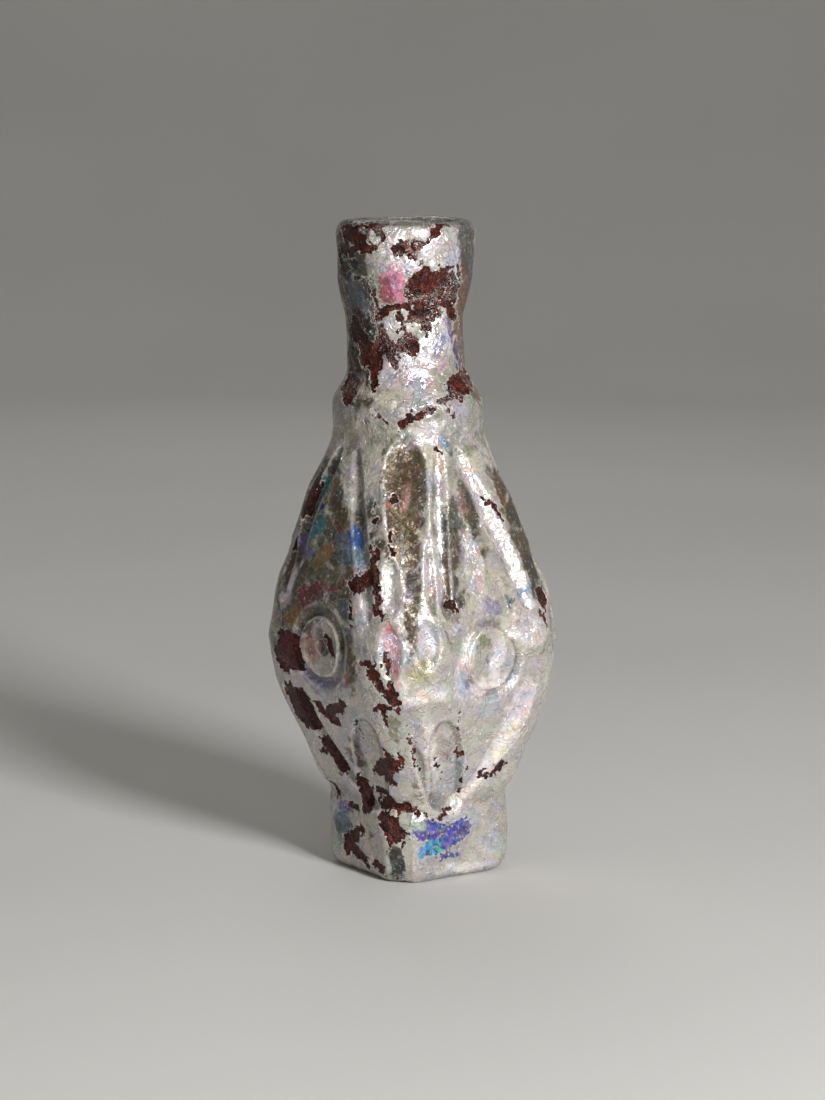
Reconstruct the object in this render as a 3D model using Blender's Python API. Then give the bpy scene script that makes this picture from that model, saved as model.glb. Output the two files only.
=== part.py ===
"""Wheel-cut glass bottle: a small flask with a square foot, a four-sided body that swells
to a belt, a ringed shoulder and a plain round neck.

The bottle is one hollow piece of glass. Its outside is a rounded square in section that
turns round towards the neck, and the cutter's wheel has ground strokes, petals and ringed
discs into it. Every form is a radius about the bottle's leaning axis, worked out for an
angle and a height. Lengths are metres, angles are degrees, +Z is up, the faces look along
X and Y, and the foot stands on Z = 0.
"""

from collections import namedtuple

import bmesh
import bpy
import numpy as np

# Heights of the bottle's parts, from the foot up
FOOT_HEIGHT = 0.0104        # to the narrow waist above the foot
LOWER_BODY_HEIGHT = 0.0201  # from the waist to the belt, the widest level
UPPER_BODY_HEIGHT = 0.0271  # from the belt to the narrow line under the shoulder ring
RING_BAND_HEIGHT = 0.0096   # from that line, over the ring, to the throat
NECK_HEIGHT = 0.0178        # from the throat to the rim

# Radii of the outline, from the axis to a corner
FOOT_BASE_RADIUS = 0.0116
FOOT_TOP_RADIUS = 0.0119
WAIST_RADIUS = 0.0114
BELT_RADIUS = 0.0189
SHOULDER_RADIUS = 0.0096
RING_RADIUS = 0.00985
THROAT_RADIUS = 0.0076
FLARE_RADIUS = 0.0087
RIM_RADIUS = 0.0091

# Turns of the outline between those levels, as shares of the part's height
WAIST_SWELL_PLACE = 0.07    # of the lower body, where it has sprung out from the waist
WAIST_SWELL = 0.0013
BELT_LOW_PLACE = 0.71       # of the lower body, where its steep band under the belt starts
BELT_TOP_PLACE = 0.21       # of the upper body, where its steep band over the belt ends
BELT_FALL = 0.0008          # how much narrower the body is at the band's edges
UPPER_BULGE_PLACE = 0.72    # of the upper body, where it is a little full
UPPER_BULGE = 0.0009
RING_LOW_PLACE = 0.14       # of the ring band, where the ring has swelled out
RING_TOP_PLACE = 0.44       # of the ring band, where the ring starts to turn in
RING_END_PLACE = 0.80       # of the ring band, where the ring ends
FLARE_START_PLACE = 0.31    # of the neck, where it starts to open
FLARE_END_PLACE = 0.55      # of the neck, where it runs straight again
OUTLINE_SOFT_HEIGHT = 0.0008  # half the height over which the outline's turns are rounded

# Section: the distance to a face as a share of the distance to a corner
FOOT_SQUARENESS = 0.82
BODY_SQUARENESS = 0.835
SHOULDER_SQUARENESS = 0.91
SHOULDER_ROUNDING = 0.0046  # the corners fade out from this far below the shoulder
FOOT_TURN = -6.0            # the foot is turned a little against the body
FOOT_EDGE = 0.0018          # rounding of the foot's lower edge
FOOT_FACET_PLACE = 221.5    # a narrow flat ground on one corner of the foot
FOOT_FACET_DEPTH = 0.00035
FOOT_UNTWIST = 0.0032       # height above the waist over which the foot's turn fades out

# Glass
NECK_WALL = 0.0023
BODY_WALL = 0.0033
FLOOR_THICKNESS = 0.0062
CAVITY_FLOOR_ROUND = 0.0040
LIP_ROUND = 0.0019          # height of the rounded lip
MOUTH_RADIUS = 0.0061
MOUTH_FLARE = 0.0060        # height over which the bore opens to the mouth
RIM_WAVE = 0.00016          # how far the uneven rim rises and falls
RIM_WAVES = ((0.6, 2.0, 0.8), (0.4, 5.0, 0.0))  # (share, times round, start)
SURFACE_WAVE = 0.00006      # unevenness of the hand-finished outside
SURFACE_WAVE_LENGTH = 0.024
# Each wave is (times round, times per wave length, start)
SURFACE_WAVES = ((3.0, 1.0, 0.0), (5.0, -1.6, 1.3), (2.0, 2.7, 0.4))

# Lean of the axis, along one direction seen from above
LEAN_DIRECTION = -40.0
FOOT_OFFSET = 0.00085
UPPER_OFFSET = -0.00060
RING_OFFSET = -0.00055
NECK_OFFSET = -0.00095

# Ringed disc on each face, at the belt
DISC_RADIUS = 0.0039
DISC_RING_WIDTH = 0.0017    # of the groove round it, steep on the disc's side
DISC_RING_DEPTH = 0.0012    # of the groove's sloping floor, carried on to the disc's edge
DISC_RING_STEEPNESS = 6.0
DISC_DISHING = 0.00040
DIMPLE_RADIUS = 0.0009
DIMPLE_DEPTH = 0.00035

# Wheel strokes. A place is degrees from the middle of the face or from the corner, and a
# share of the height: the upper body's shares run from 0 at the belt to 1 at the shoulder,
# the lower body's from 0 at the waist to 1 at the belt
ARM_WIDTH = 0.0025
ARM_DEPTH = 0.0008
ARM_LOW_SHARE = 0.17
ARM_TOP_SHARE = 0.95
ARM_BOW = 3.0
LOW_ARM_LOW_SHARE = 0.01
LOW_ARM_TOP_SHARE = 0.75
LOW_ARM_BOW = 6.0
PETAL_WIDTH = 0.0058
PETAL_DEPTH = 0.0009
PETAL_LOW_SHARE = -0.06
PETAL_TOP_SHARE = 0.60
PANEL_WIDTH = 0.0057
PANEL_DEPTH = 0.0010
PANEL_LOW = (6.5, 0.17)
PANEL_TOP = (2.5, 0.99)
LENS_DEPTH = 0.0008
CORNER_GROOVE_WIDTH = 0.0016
CORNER_GROOVE_DEPTH = 0.0006
CORNER_GROOVE_LOW = (13.0, 0.02)
CORNER_GROOVE_TOP = (4.0, 0.46)
NICK_WIDTH = 0.0015
NICK_REACH = 7.0            # degrees to either side of the corner
NICK_DEPTH = 0.00055
NICK_DROP = 0.0009          # below the belt

# Lens cuts up each corner, with ridges left between them. The narrow ones have their
# width as a share of the widest
LENS_WIDTH = 0.0033
Lens = namedtuple("Lens", "place low_share top_share width_share")
LENSES = (
    Lens(-3.0, 0.20, 0.47, 0.85),
    Lens(-3.5, -0.10, 0.16, 0.97),
    Lens(14.5, 0.20, 0.57, 0.58),
    Lens(11.5, -0.05, 0.19, 1.00),
)

# Each face has two arms spread down from the shoulder, a ringed disc at the belt, and
# below it one arm and one petal. An arm or a petal is (degrees at its top, degrees at its
# end), and a disc's rise over the belt is a share of its radius. The cutter's hand gives
# each face its own places
Face = namedtuple("Face", "direction left_arm right_arm low_arm petal disc_turn disc_rise")
FACES = (
    Face(0.0, (-8.0, -27.0), (7.0, 28.0), (-23.0, 1.0), (25.0, 19.0), 1.0, 0.05),
    Face(90.0, (-6.0, -27.0), (8.0, 27.0), (24.0, -1.0), (-25.0, -19.0), -1.5, -0.07),
    Face(180.0, (-9.0, -28.0), (10.0, 32.0), (-20.0, 6.0), (25.0, 19.0), -0.5, 0.08),
    Face(270.0, (-18.0, -24.0), (-2.0, 25.0), (24.0, -4.0), (-26.0, -19.0), 0.5, -0.22),
)
CORNERS = (45.0, 135.0, 225.0, 315.0)
NICKED_CORNERS = (135.0, 315.0)

# Shape of a stroke: how blunt its ends are, how flat its floor is and where it is widest
LENS_SHAPE = (2.0, 2.0, 1.0)
ARM_SHAPE = (4.0, 2.0, 1.0)
PETAL_SHAPE = (3.0, 4.0, 1.0)
PANEL_SHAPE = (3.0, 3.0, 2.0)

# Mesh
COLUMNS = 240
ROW_STEP = 0.0005
SOFTENING_SAMPLES = 9
FOOT_EDGE_ROWS = 8
LIP_ROWS = 15
CAVITY_FLOOR_ROWS = 9
TRIANGLES = 9400
MERGE_DISTANCE = 1e-6
STOCK = 0.0006              # glass under the foot that is ground away flat

# Levels that follow from the heights
BELT = FOOT_HEIGHT + LOWER_BODY_HEIGHT
SHOULDER = BELT + UPPER_BODY_HEIGHT
THROAT = SHOULDER + RING_BAND_HEIGHT
RIM = THROAT + NECK_HEIGHT
BELT_LOW = FOOT_HEIGHT + BELT_LOW_PLACE * LOWER_BODY_HEIGHT
BELT_TOP = BELT + BELT_TOP_PLACE * UPPER_BODY_HEIGHT
UPPER_FULL = BELT + UPPER_BULGE_PLACE * UPPER_BODY_HEIGHT
RING_LOW = SHOULDER + RING_LOW_PLACE * RING_BAND_HEIGHT
RING_TOP = SHOULDER + RING_TOP_PLACE * RING_BAND_HEIGHT
RING_END = SHOULDER + RING_END_PLACE * RING_BAND_HEIGHT
FLARE_START = THROAT + FLARE_START_PLACE * NECK_HEIGHT
FLARE_END = THROAT + FLARE_END_PLACE * NECK_HEIGHT

Stroke = namedtuple("Stroke", "centre low top width depth bow shape")


def upper(share):
    """Height of a share of the upper body."""
    return BELT + share * UPPER_BODY_HEIGHT


def lower(share):
    """Height of a share of the lower body."""
    return FOOT_HEIGHT + share * LOWER_BODY_HEIGHT


def smooth_step(value, low, high):
    """0 below low, 1 above high, and a soft turn between."""
    share = np.clip((value - low) / (high - low), 0.0, 1.0)
    return share * share * (3.0 - 2.0 * share)


def turned(angle):
    """An angle in degrees brought between -180 and 180."""
    return (angle + 180.0) % 360.0 - 180.0


def along_line(height, low, top):
    """Radius at a height on the straight line through two (height, radius) points."""
    return low[1] + (top[1] - low[1]) * (height - low[0]) / (top[0] - low[0])


def outline():
    """The bottle's outline as (height, corner radius) points, straight between them."""
    swell = FOOT_HEIGHT + WAIST_SWELL_PLACE * LOWER_BODY_HEIGHT
    belt_top = (BELT_TOP, BELT_RADIUS - BELT_FALL)
    shoulder = (SHOULDER, SHOULDER_RADIUS)
    return (
        (0.0, FOOT_BASE_RADIUS),
        (FOOT_HEIGHT - 2.0 * OUTLINE_SOFT_HEIGHT, FOOT_TOP_RADIUS),
        (FOOT_HEIGHT, WAIST_RADIUS),
        (swell, WAIST_RADIUS + WAIST_SWELL),
        (BELT_LOW, BELT_RADIUS - BELT_FALL),
        (BELT, BELT_RADIUS),
        belt_top,
        (UPPER_FULL, along_line(UPPER_FULL, belt_top, shoulder) + UPPER_BULGE),
        shoulder,
        (RING_LOW, RING_RADIUS),
        (RING_TOP, RING_RADIUS),
        (RING_END, THROAT_RADIUS),
        (FLARE_START, THROAT_RADIUS),
        (FLARE_END, FLARE_RADIUS),
        (RIM, RIM_RADIUS),
    )


OUTLINE_HEIGHTS, OUTLINE_RADII = zip(*outline())


def corner_radius(height):
    """Distance from the axis to a corner of the section, with the outline's turns soft."""
    offsets = np.linspace(-OUTLINE_SOFT_HEIGHT, OUTLINE_SOFT_HEIGHT, SOFTENING_SAMPLES)
    radii = [np.interp(height + step, OUTLINE_HEIGHTS, OUTLINE_RADII) for step in offsets]
    return sum(radii) / len(radii)


def squareness(height):
    """Face distance as a share of the corner distance: 1 is a full round."""
    heights = (FOOT_HEIGHT, BELT_LOW, BELT_TOP, SHOULDER - SHOULDER_ROUNDING, RING_LOW)
    shares = (FOOT_SQUARENESS, BODY_SQUARENESS, BODY_SQUARENESS, SHOULDER_SQUARENESS, 1.0)
    return np.interp(height, heights, shares)


def rounded_square(angle, corner, share):
    """Radius of a rounded square whose faces look along 0, 90, 180 and 270 degrees."""
    face = corner * share
    rounding = corner * (np.sqrt(2.0) * share - 1.0) / (np.sqrt(2.0) - 1.0)
    centre = face - rounding
    off_face = np.radians((angle + 45.0) % 90.0 - 45.0)
    flat = face / np.cos(off_face)
    along = centre * (np.cos(off_face) + np.abs(np.sin(off_face)))
    arc = along + np.sqrt(np.maximum(rounding**2 - 2.0 * centre**2 + along**2, 0.0))
    return np.where(face * np.abs(np.tan(off_face)) <= centre, flat, arc)


def stroke_depth(stroke, angle, height, radius):
    """Depth of one wheel stroke at an angle and a height."""
    low, top = stroke.low, stroke.top
    end_bluntness, floor_flatness, widest = stroke.shape
    share = np.clip((height - low[1]) / (top[1] - low[1]), 0.0, 1.0)
    bow = stroke.bow * 4.0 * share * (1.0 - share)
    off_middle = turned(angle - stroke.centre - low[0] - (top[0] - low[0]) * share - bow)
    slant = radius * np.radians(top[0] - low[0]) / (top[1] - low[1])
    across = radius * np.radians(off_middle) / np.sqrt(1.0 + slant**2)
    along = 2.0 * share**widest - 1.0
    taper = np.sqrt(np.clip(1.0 - np.abs(along) ** end_bluntness, 0.0, 1.0))
    half_width = 0.5 * stroke.width * taper + MERGE_DISTANCE
    hollow = 1.0 - np.minimum(np.abs(across) / half_width, 1.0) ** floor_flatness
    return stroke.depth * taper * hollow


def disc_depth(face, angle, height, radius):
    """Depth of the ring groove round a face's disc, of its dished top and its dimple."""
    off_disc = turned(angle - face.direction - face.disc_turn)
    above = height - BELT - face.disc_rise * DISC_RADIUS
    out = np.hypot(radius * np.sin(np.radians(off_disc)), above)
    floor = 1.0 - np.clip((out - DISC_RADIUS) / DISC_RING_WIDTH, 0.0, 1.0)
    ring = floor * (1.0 - floor**DISC_RING_STEEPNESS)
    dish = np.clip(1.0 - (out / DISC_RADIUS) ** 2, 0.0, 1.0)
    dimple = np.clip(1.0 - (out / DIMPLE_RADIUS) ** 2, 0.0, 1.0)
    depth = np.maximum(DISC_RING_DEPTH * ring, DISC_DISHING * dish + DIMPLE_DEPTH * dimple)
    return np.where(np.abs(off_disc) < 90.0, depth, 0.0)


def nick_depth(corner, angle, height):
    """Depth of the short level nick across a corner, just below the belt."""
    off_corner = turned(angle - corner)
    up = np.clip(1.0 - np.abs(height - BELT + NICK_DROP) / (0.5 * NICK_WIDTH), 0.0, 1.0)
    return NICK_DEPTH * up * np.clip(1.0 - (off_corner / NICK_REACH) ** 2, 0.0, 1.0)


def face_strokes(face):
    """A face's two arms over the disc, and the arm and the petal below it."""
    high, middle = upper(ARM_TOP_SHARE), upper(ARM_LOW_SHARE)
    strokes = []
    for arm in (face.left_arm, face.right_arm):
        bow = np.sign(arm[1]) * ARM_BOW
        ends = (arm[1], middle), (arm[0], high)
        strokes.append(Stroke(face.direction, *ends, ARM_WIDTH, ARM_DEPTH, bow, ARM_SHAPE))
    arm, petal = face.low_arm, face.petal
    ends = (arm[1], lower(LOW_ARM_LOW_SHARE)), (arm[0], lower(LOW_ARM_TOP_SHARE))
    bow = np.sign(arm[0]) * LOW_ARM_BOW
    strokes.append(Stroke(face.direction, *ends, ARM_WIDTH, ARM_DEPTH, bow, ARM_SHAPE))
    ends = (petal[1], lower(PETAL_LOW_SHARE)), (petal[0], lower(PETAL_TOP_SHARE))
    strokes.append(Stroke(face.direction, *ends, PETAL_WIDTH, PETAL_DEPTH, 0.0, PETAL_SHAPE))
    return strokes


def corner_strokes(corner):
    """The hollow panel under the shoulder, the lens cuts and the groove over the foot."""
    ends = (PANEL_LOW[0], upper(PANEL_LOW[1])), (PANEL_TOP[0], upper(PANEL_TOP[1]))
    strokes = [Stroke(corner, *ends, PANEL_WIDTH, PANEL_DEPTH, 0.0, PANEL_SHAPE)]
    for lens in LENSES:
        ends = (lens.place, upper(lens.low_share)), (lens.place, upper(lens.top_share))
        width = lens.width_share * LENS_WIDTH
        strokes.append(Stroke(corner, *ends, width, LENS_DEPTH, 0.0, LENS_SHAPE))
    low, top = CORNER_GROOVE_LOW, CORNER_GROOVE_TOP
    ends = (low[0], lower(low[1])), (top[0], lower(top[1]))
    sizes = CORNER_GROOVE_WIDTH, CORNER_GROOVE_DEPTH
    strokes.append(Stroke(corner, *ends, *sizes, 0.0, LENS_SHAPE))
    return strokes


STROKES = [stroke for face in FACES for stroke in face_strokes(face)]
STROKES += [stroke for corner in CORNERS for stroke in corner_strokes(corner)]


def uncut_radius(angle, height):
    """Radius of the ground blank, before the wheel has cut into it."""
    foot_share = 1.0 - smooth_step(height, FOOT_HEIGHT, FOOT_HEIGHT + FOOT_UNTWIST)
    section_angle = angle - FOOT_TURN * foot_share
    corner = corner_radius(height)
    radius = rounded_square(section_angle, corner, squareness(height))
    off_facet = np.radians(turned(section_angle - FOOT_FACET_PLACE))
    facet = (corner - FOOT_FACET_DEPTH) / np.maximum(np.cos(off_facet), 0.1)
    return np.where(height < FOOT_HEIGHT, np.minimum(radius, facet), radius)


def outer_radius(angle, height):
    """Radius of the finished outside at an angle and a height."""
    radius = uncut_radius(angle, height)
    cuts = [stroke_depth(stroke, angle, height, radius) for stroke in STROKES]
    cuts += [disc_depth(face, angle, height, radius) for face in FACES]
    cuts += [nick_depth(corner, angle, height) for corner in NICKED_CORNERS]
    turn = np.radians(angle)
    rise = 2.0 * np.pi * height / SURFACE_WAVE_LENGTH
    waves = 0.0
    for times_round, times_up, start in SURFACE_WAVES:
        waves += np.sin(times_round * turn + times_up * rise + start)
    return radius - np.maximum.reduce(cuts) + SURFACE_WAVE * waves


def cavity_radius(height):
    """Radius of the hollow inside, which follows the faces a wall's thickness in."""
    bore = THROAT_RADIUS - NECK_WALL
    body = np.maximum(corner_radius(height) * squareness(height) - BODY_WALL, bore)
    in_neck = smooth_step(height, SHOULDER - SHOULDER_ROUNDING, SHOULDER)
    in_mouth = smooth_step(height, RIM - LIP_ROUND - MOUTH_FLARE, RIM - LIP_ROUND)
    radius = body + (bore - body) * in_neck + (MOUTH_RADIUS - bore) * in_mouth
    into_floor = (FLOOR_THICKNESS + CAVITY_FLOOR_ROUND - height) / CAVITY_FLOOR_ROUND
    return radius * np.sqrt(1.0 - np.clip(into_floor, 0.0, 1.0) ** 2)


def axis_offset(height):
    """How far the leaning axis stands from the Z axis at a height."""
    heights = (0.5 * FOOT_HEIGHT, BELT, UPPER_FULL, RING_LOW, THROAT)
    offsets = (FOOT_OFFSET, 0.0, UPPER_OFFSET, RING_OFFSET, NECK_OFFSET)
    return np.interp(height, heights, offsets)


def rim_wave(angle, height):
    """Fall of the uneven rim below its highest point, fading out down the neck."""
    wave = -1.0
    for share, times_round, start in RIM_WAVES:
        wave = wave + share * np.sin(times_round * np.radians(angle) + start)
    return RIM_WAVE * wave * smooth_step(height, FLARE_START, RIM)


def wall_path(angles):
    """The wall's section as rows of (height, radii at the angles), from the underside's
    middle up the outside, over the lip, down the bore and to the cavity's floor."""
    nothing = 0.0 * angles
    rows = [(-STOCK, nothing), (-STOCK, outer_radius(angles, 0.0) - FOOT_EDGE)]
    for tilt in np.radians(np.linspace(0.0, 90.0, FOOT_EDGE_ROWS)):
        height = FOOT_EDGE * (1.0 - np.cos(tilt))
        inset = FOOT_EDGE * (1.0 - np.sin(tilt))
        rows.append((height, outer_radius(angles, height) - inset))
    lip_start = RIM - LIP_ROUND
    for height in np.arange(FOOT_EDGE + ROW_STEP, lip_start, ROW_STEP):
        rows.append((height, outer_radius(angles, height)))
    outer = outer_radius(angles, lip_start)
    bore = cavity_radius(lip_start)
    for tilt in np.radians(np.linspace(0.0, 180.0, LIP_ROWS)):
        radii = 0.5 * (outer + bore) + 0.5 * (outer - bore) * np.cos(tilt)
        rows.append((lip_start + LIP_ROUND * np.sin(tilt), radii))
    floor_round = FLOOR_THICKNESS + CAVITY_FLOOR_ROUND
    for height in np.arange(lip_start - ROW_STEP, floor_round, -2.0 * ROW_STEP):
        rows.append((height, cavity_radius(height) + nothing))
    for tilt in np.radians(np.linspace(0.0, 90.0, CAVITY_FLOOR_ROWS)):
        height = floor_round - CAVITY_FLOOR_ROUND * np.sin(tilt)
        rows.append((height, cavity_radius(height) + nothing))
    return rows


def object_from(work, name):
    """A new object in the scene that holds the worked mesh."""
    mesh = bpy.data.meshes.new(name)
    work.to_mesh(mesh)
    work.free()
    made = bpy.data.objects.new(name, mesh)
    bpy.context.collection.objects.link(made)
    return made


def rolled_wall():
    """A flat grid rolled up: its columns run round the bottle, its rows along the wall."""
    angles = np.linspace(0.0, 360.0, COLUMNS + 1)
    rows = wall_path(angles)
    work = bmesh.new()
    bmesh.ops.create_grid(work, x_segments=COLUMNS, y_segments=len(rows) - 1, size=1.0)
    grid = sorted(work.verts, key=lambda vert: (round(vert.co.y, 6), vert.co.x))
    turn = np.radians(angles)
    lean = np.radians(LEAN_DIRECTION)
    for number, (height, radii) in enumerate(rows):
        across = radii * np.cos(turn) + axis_offset(height) * np.cos(lean)
        deep = radii * np.sin(turn) + axis_offset(height) * np.sin(lean)
        up = height + rim_wave(angles, height)
        first = number * len(angles)
        for vert, *place in zip(grid[first : first + len(angles)], across, deep, up):
            vert.co = place
    bmesh.ops.remove_doubles(work, verts=work.verts, dist=MERGE_DISTANCE)
    bmesh.ops.recalc_face_normals(work, faces=work.faces)
    return work


def grinding_plate():
    """A hidden cutter that leaves the foot's underside flat at Z = 0."""
    side = 4.0 * FOOT_TOP_RADIUS
    thickness = 10.0 * STOCK
    work = bmesh.new()
    bmesh.ops.create_cube(work, size=1.0)
    bmesh.ops.scale(work, vec=(side, side, thickness), verts=work.verts)
    bmesh.ops.translate(work, vec=(0.0, 0.0, -0.5 * thickness), verts=work.verts)
    plate = object_from(work, "grinding_plate")
    plate.hide_render = True
    plate.display_type = "WIRE"
    return plate


def weathered_glass():
    """Milky pale glass, satin from its weathering."""
    material = bpy.data.materials.new("weathered_glass")
    material.use_nodes = True
    shader = material.node_tree.nodes["Principled BSDF"]
    shader.inputs["Base Color"].default_value = (0.50, 0.47, 0.42, 1.0)
    shader.inputs["Roughness"].default_value = 0.4
    shader.inputs["Metallic"].default_value = 0.0
    return material


def glass_bottle():
    """The bottle, its plain stretches thinned out and its foot ground flat."""
    bottle = object_from(rolled_wall(), "glass_bottle")
    bottle.data.materials.append(weathered_glass())
    bottle.data.shade_smooth()
    bottle.data.calc_loop_triangles()
    thin = bottle.modifiers.new("thin_out", "DECIMATE")
    thin.ratio = min(TRIANGLES / len(bottle.data.loop_triangles), 1.0)
    ground = bottle.modifiers.new("grind_foot", "BOOLEAN")
    ground.operation = "DIFFERENCE"
    ground.solver = "EXACT"
    ground.object = grinding_plate()
    return bottle


def clear_scene():
    for thing in list(bpy.data.objects):
        bpy.data.objects.remove(thing, do_unlink=True)


clear_scene()
glass_bottle()
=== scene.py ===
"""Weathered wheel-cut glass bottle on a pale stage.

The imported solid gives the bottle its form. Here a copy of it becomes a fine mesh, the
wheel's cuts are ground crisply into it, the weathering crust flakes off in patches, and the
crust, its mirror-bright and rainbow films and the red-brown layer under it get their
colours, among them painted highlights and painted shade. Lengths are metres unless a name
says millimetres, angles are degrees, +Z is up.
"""

import math
import random
from collections import namedtuple

import bpy
import numpy as np
from bpy.props import FloatProperty, FloatVectorProperty, IntProperty, PointerProperty
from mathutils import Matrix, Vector, noise


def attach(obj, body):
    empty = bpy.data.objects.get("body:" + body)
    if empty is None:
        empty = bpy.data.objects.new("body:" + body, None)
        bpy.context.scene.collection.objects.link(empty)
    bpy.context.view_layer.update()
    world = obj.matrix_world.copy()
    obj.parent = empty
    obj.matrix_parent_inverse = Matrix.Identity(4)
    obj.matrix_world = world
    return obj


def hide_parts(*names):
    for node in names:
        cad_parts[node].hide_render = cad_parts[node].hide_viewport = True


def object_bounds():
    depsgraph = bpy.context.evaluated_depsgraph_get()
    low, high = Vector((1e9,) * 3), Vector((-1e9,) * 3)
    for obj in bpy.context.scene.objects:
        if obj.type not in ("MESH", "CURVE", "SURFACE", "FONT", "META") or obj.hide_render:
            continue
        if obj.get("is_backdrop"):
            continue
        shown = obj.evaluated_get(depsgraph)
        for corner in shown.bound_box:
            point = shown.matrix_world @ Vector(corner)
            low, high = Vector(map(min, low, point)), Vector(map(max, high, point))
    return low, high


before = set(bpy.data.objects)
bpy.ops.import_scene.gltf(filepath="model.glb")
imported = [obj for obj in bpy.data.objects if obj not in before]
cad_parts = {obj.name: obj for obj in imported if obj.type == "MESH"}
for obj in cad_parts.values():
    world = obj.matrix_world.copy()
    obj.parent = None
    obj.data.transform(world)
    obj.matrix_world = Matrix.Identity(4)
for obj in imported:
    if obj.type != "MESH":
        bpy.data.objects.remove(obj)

bl_info = {
    "name": "Weathered Glass Bottle",
    "version": (1, 0, 0),
    "blender": (4, 5, 0),
    "location": "3D View > Sidebar > Bottle",
    "description": "A wheel-cut glass bottle under its weathering crust, on a pale stage",
    "category": "Add Mesh",
}

CAD_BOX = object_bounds()
MM = 0.001


# Properties


def length(name, default, description):
    """A length that a user may set."""
    return FloatProperty(
        name=name, description=description, default=default, unit="LENGTH", precision=5
    )


def amount(name, default, description):
    """A plain number between 0 and 1 that a user may set."""
    return FloatProperty(
        name=name, description=description, default=default, min=0.0, max=1.0, subtype="FACTOR"
    )


def colour(name, default, description):
    """A colour that a user may set."""
    return FloatVectorProperty(
        name=name, description=description, default=default, min=0.0, max=1.0, subtype="COLOR"
    )


class BottleForm(bpy.types.PropertyGroup):
    """Sizes of the ground form, the same as the solid's."""

    foot_height: length("Foot Height", 0.0104, "From the table to the waist over the foot")
    lower_height: length("Lower Body Height", 0.0201, "From the waist to the belt")
    upper_height: length("Upper Body Height", 0.0271, "From the belt to the shoulder")
    ring_height: length("Ring Band Height", 0.0096, "From the shoulder to the throat")
    neck_height: length("Neck Height", 0.0178, "From the throat to the rim")
    foot_base_radius: length("Foot Base Radius", 0.0116, "At the foot's underside")
    foot_top_radius: length("Foot Top Radius", 0.0119, "At the foot's upper edge")
    waist_radius: length("Waist Radius", 0.0114, "At the narrow line over the foot")
    waist_swell: length("Waist Swell", 0.0013, "How far the body springs out at the waist")
    belt_radius: length("Belt Radius", 0.0189, "At the widest level, across the corners")
    belt_fall: length("Belt Fall", 0.0008, "How much narrower the belt's edges are")
    upper_bulge: length("Upper Bulge", 0.0009, "How full the upper body is")
    shoulder_radius: length("Shoulder Radius", 0.0096, "At the line under the ring")
    ring_radius: length("Ring Radius", 0.00985, "Of the ring round the shoulder")
    throat_radius: length("Throat Radius", 0.0076, "At the neck's narrowest level")
    flare_radius: length("Flare Radius", 0.0087, "Where the neck has opened")
    rim_radius: length("Rim Radius", 0.0091, "At the rim")
    disc_radius: length("Disc Radius", 0.0039, "Of the ringed disc on each face")
    disc_ring_width: length("Disc Ring Width", 0.0017, "Of the groove round a disc")
    disc_ring_depth: length("Disc Ring Depth", 0.0012, "Of the groove's sloping floor")
    arm_width: length("Arm Width", 0.0025, "Of the strokes spread over a face")
    arm_depth: length("Arm Depth", 0.0008, "Of the strokes spread over a face")
    petal_width: length("Petal Width", 0.0058, "Of the petals over the foot")
    petal_depth: length("Petal Depth", 0.0009, "Of the petals over the foot")
    panel_width: length("Panel Width", 0.0057, "Of the hollow panels up the corners")
    panel_depth: length("Panel Depth", 0.0010, "Of the hollow panels up the corners")
    lens_width: length("Lens Width", 0.0033, "Of the widest lens cut")
    lens_depth: length("Lens Depth", 0.0008, "Of the lens cuts")


class CrustSettings(bpy.types.PropertyGroup):
    """How the glass has weathered."""

    mesh_step: length("Mesh Step", 0.00034, "Size of the fine mesh's faces")
    inside_keep: amount("Inside Faces Kept", 0.10, "Share of the faces kept inside")
    flake_depth: length("Flake Depth", 0.00020, "Thickness of the crust that has flaked off")
    lump_depth: length("Lump Depth", 0.00009, "Depth of the crust's slow unevenness")
    pit_depth: length("Pit Depth", 0.00007, "Depth of the small pits in the crust")
    tear_size: length("Tear Size", 0.0008, "Size of the chips along a torn edge")
    tear_reach: length("Tear Reach", 0.0006, "How far a torn edge wanders")
    seed: IntProperty(
        name="Seed", description="Shapes torn edges and the far side's flakes", default=3, min=1
    )
    crust: colour("Crust", (0.27, 0.277, 0.235), "Grey-green crust")
    cream: colour("Cream", (0.46, 0.425, 0.36), "Warm patches of the crust")
    lilac: colour("Lilac", (0.40, 0.360, 0.38), "Cool patches of the crust")
    pale: colour("Pale", (0.58, 0.56, 0.53), "Whiter crust of the lower body")
    shadowed: colour("Dark Glass", (0.060, 0.058, 0.046), "Glass seen through thin crust")
    amber: colour("Amber Glass", (0.105, 0.075, 0.045), "Warmer places in the dark glass")
    # Torn Edge colours the fresh crust edges and chips, and also paints the highlights on arrises
    # and torn rims and the glints
    torn_edge: colour("Torn Edge", (0.66, 0.64, 0.60), "Fresh edge of the crust")
    # Silver is partly the real film's colour and partly a painted highlight
    silver: colour("Silver", (0.92, 0.91, 0.92), "Mirror-bright film")
    blush: colour("Blush", (0.95, 0.70, 0.66), "Pink cast on the mirror-bright film")
    maroon: colour("Maroon", (0.014, 0.002, 0.002), "Darkest of the bared layer")
    redbrown: colour("Red-Brown", (0.068, 0.008, 0.004), "The bared layer")
    rust: colour("Rust", (0.215, 0.042, 0.014), "Lightest of the bared layer")


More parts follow.
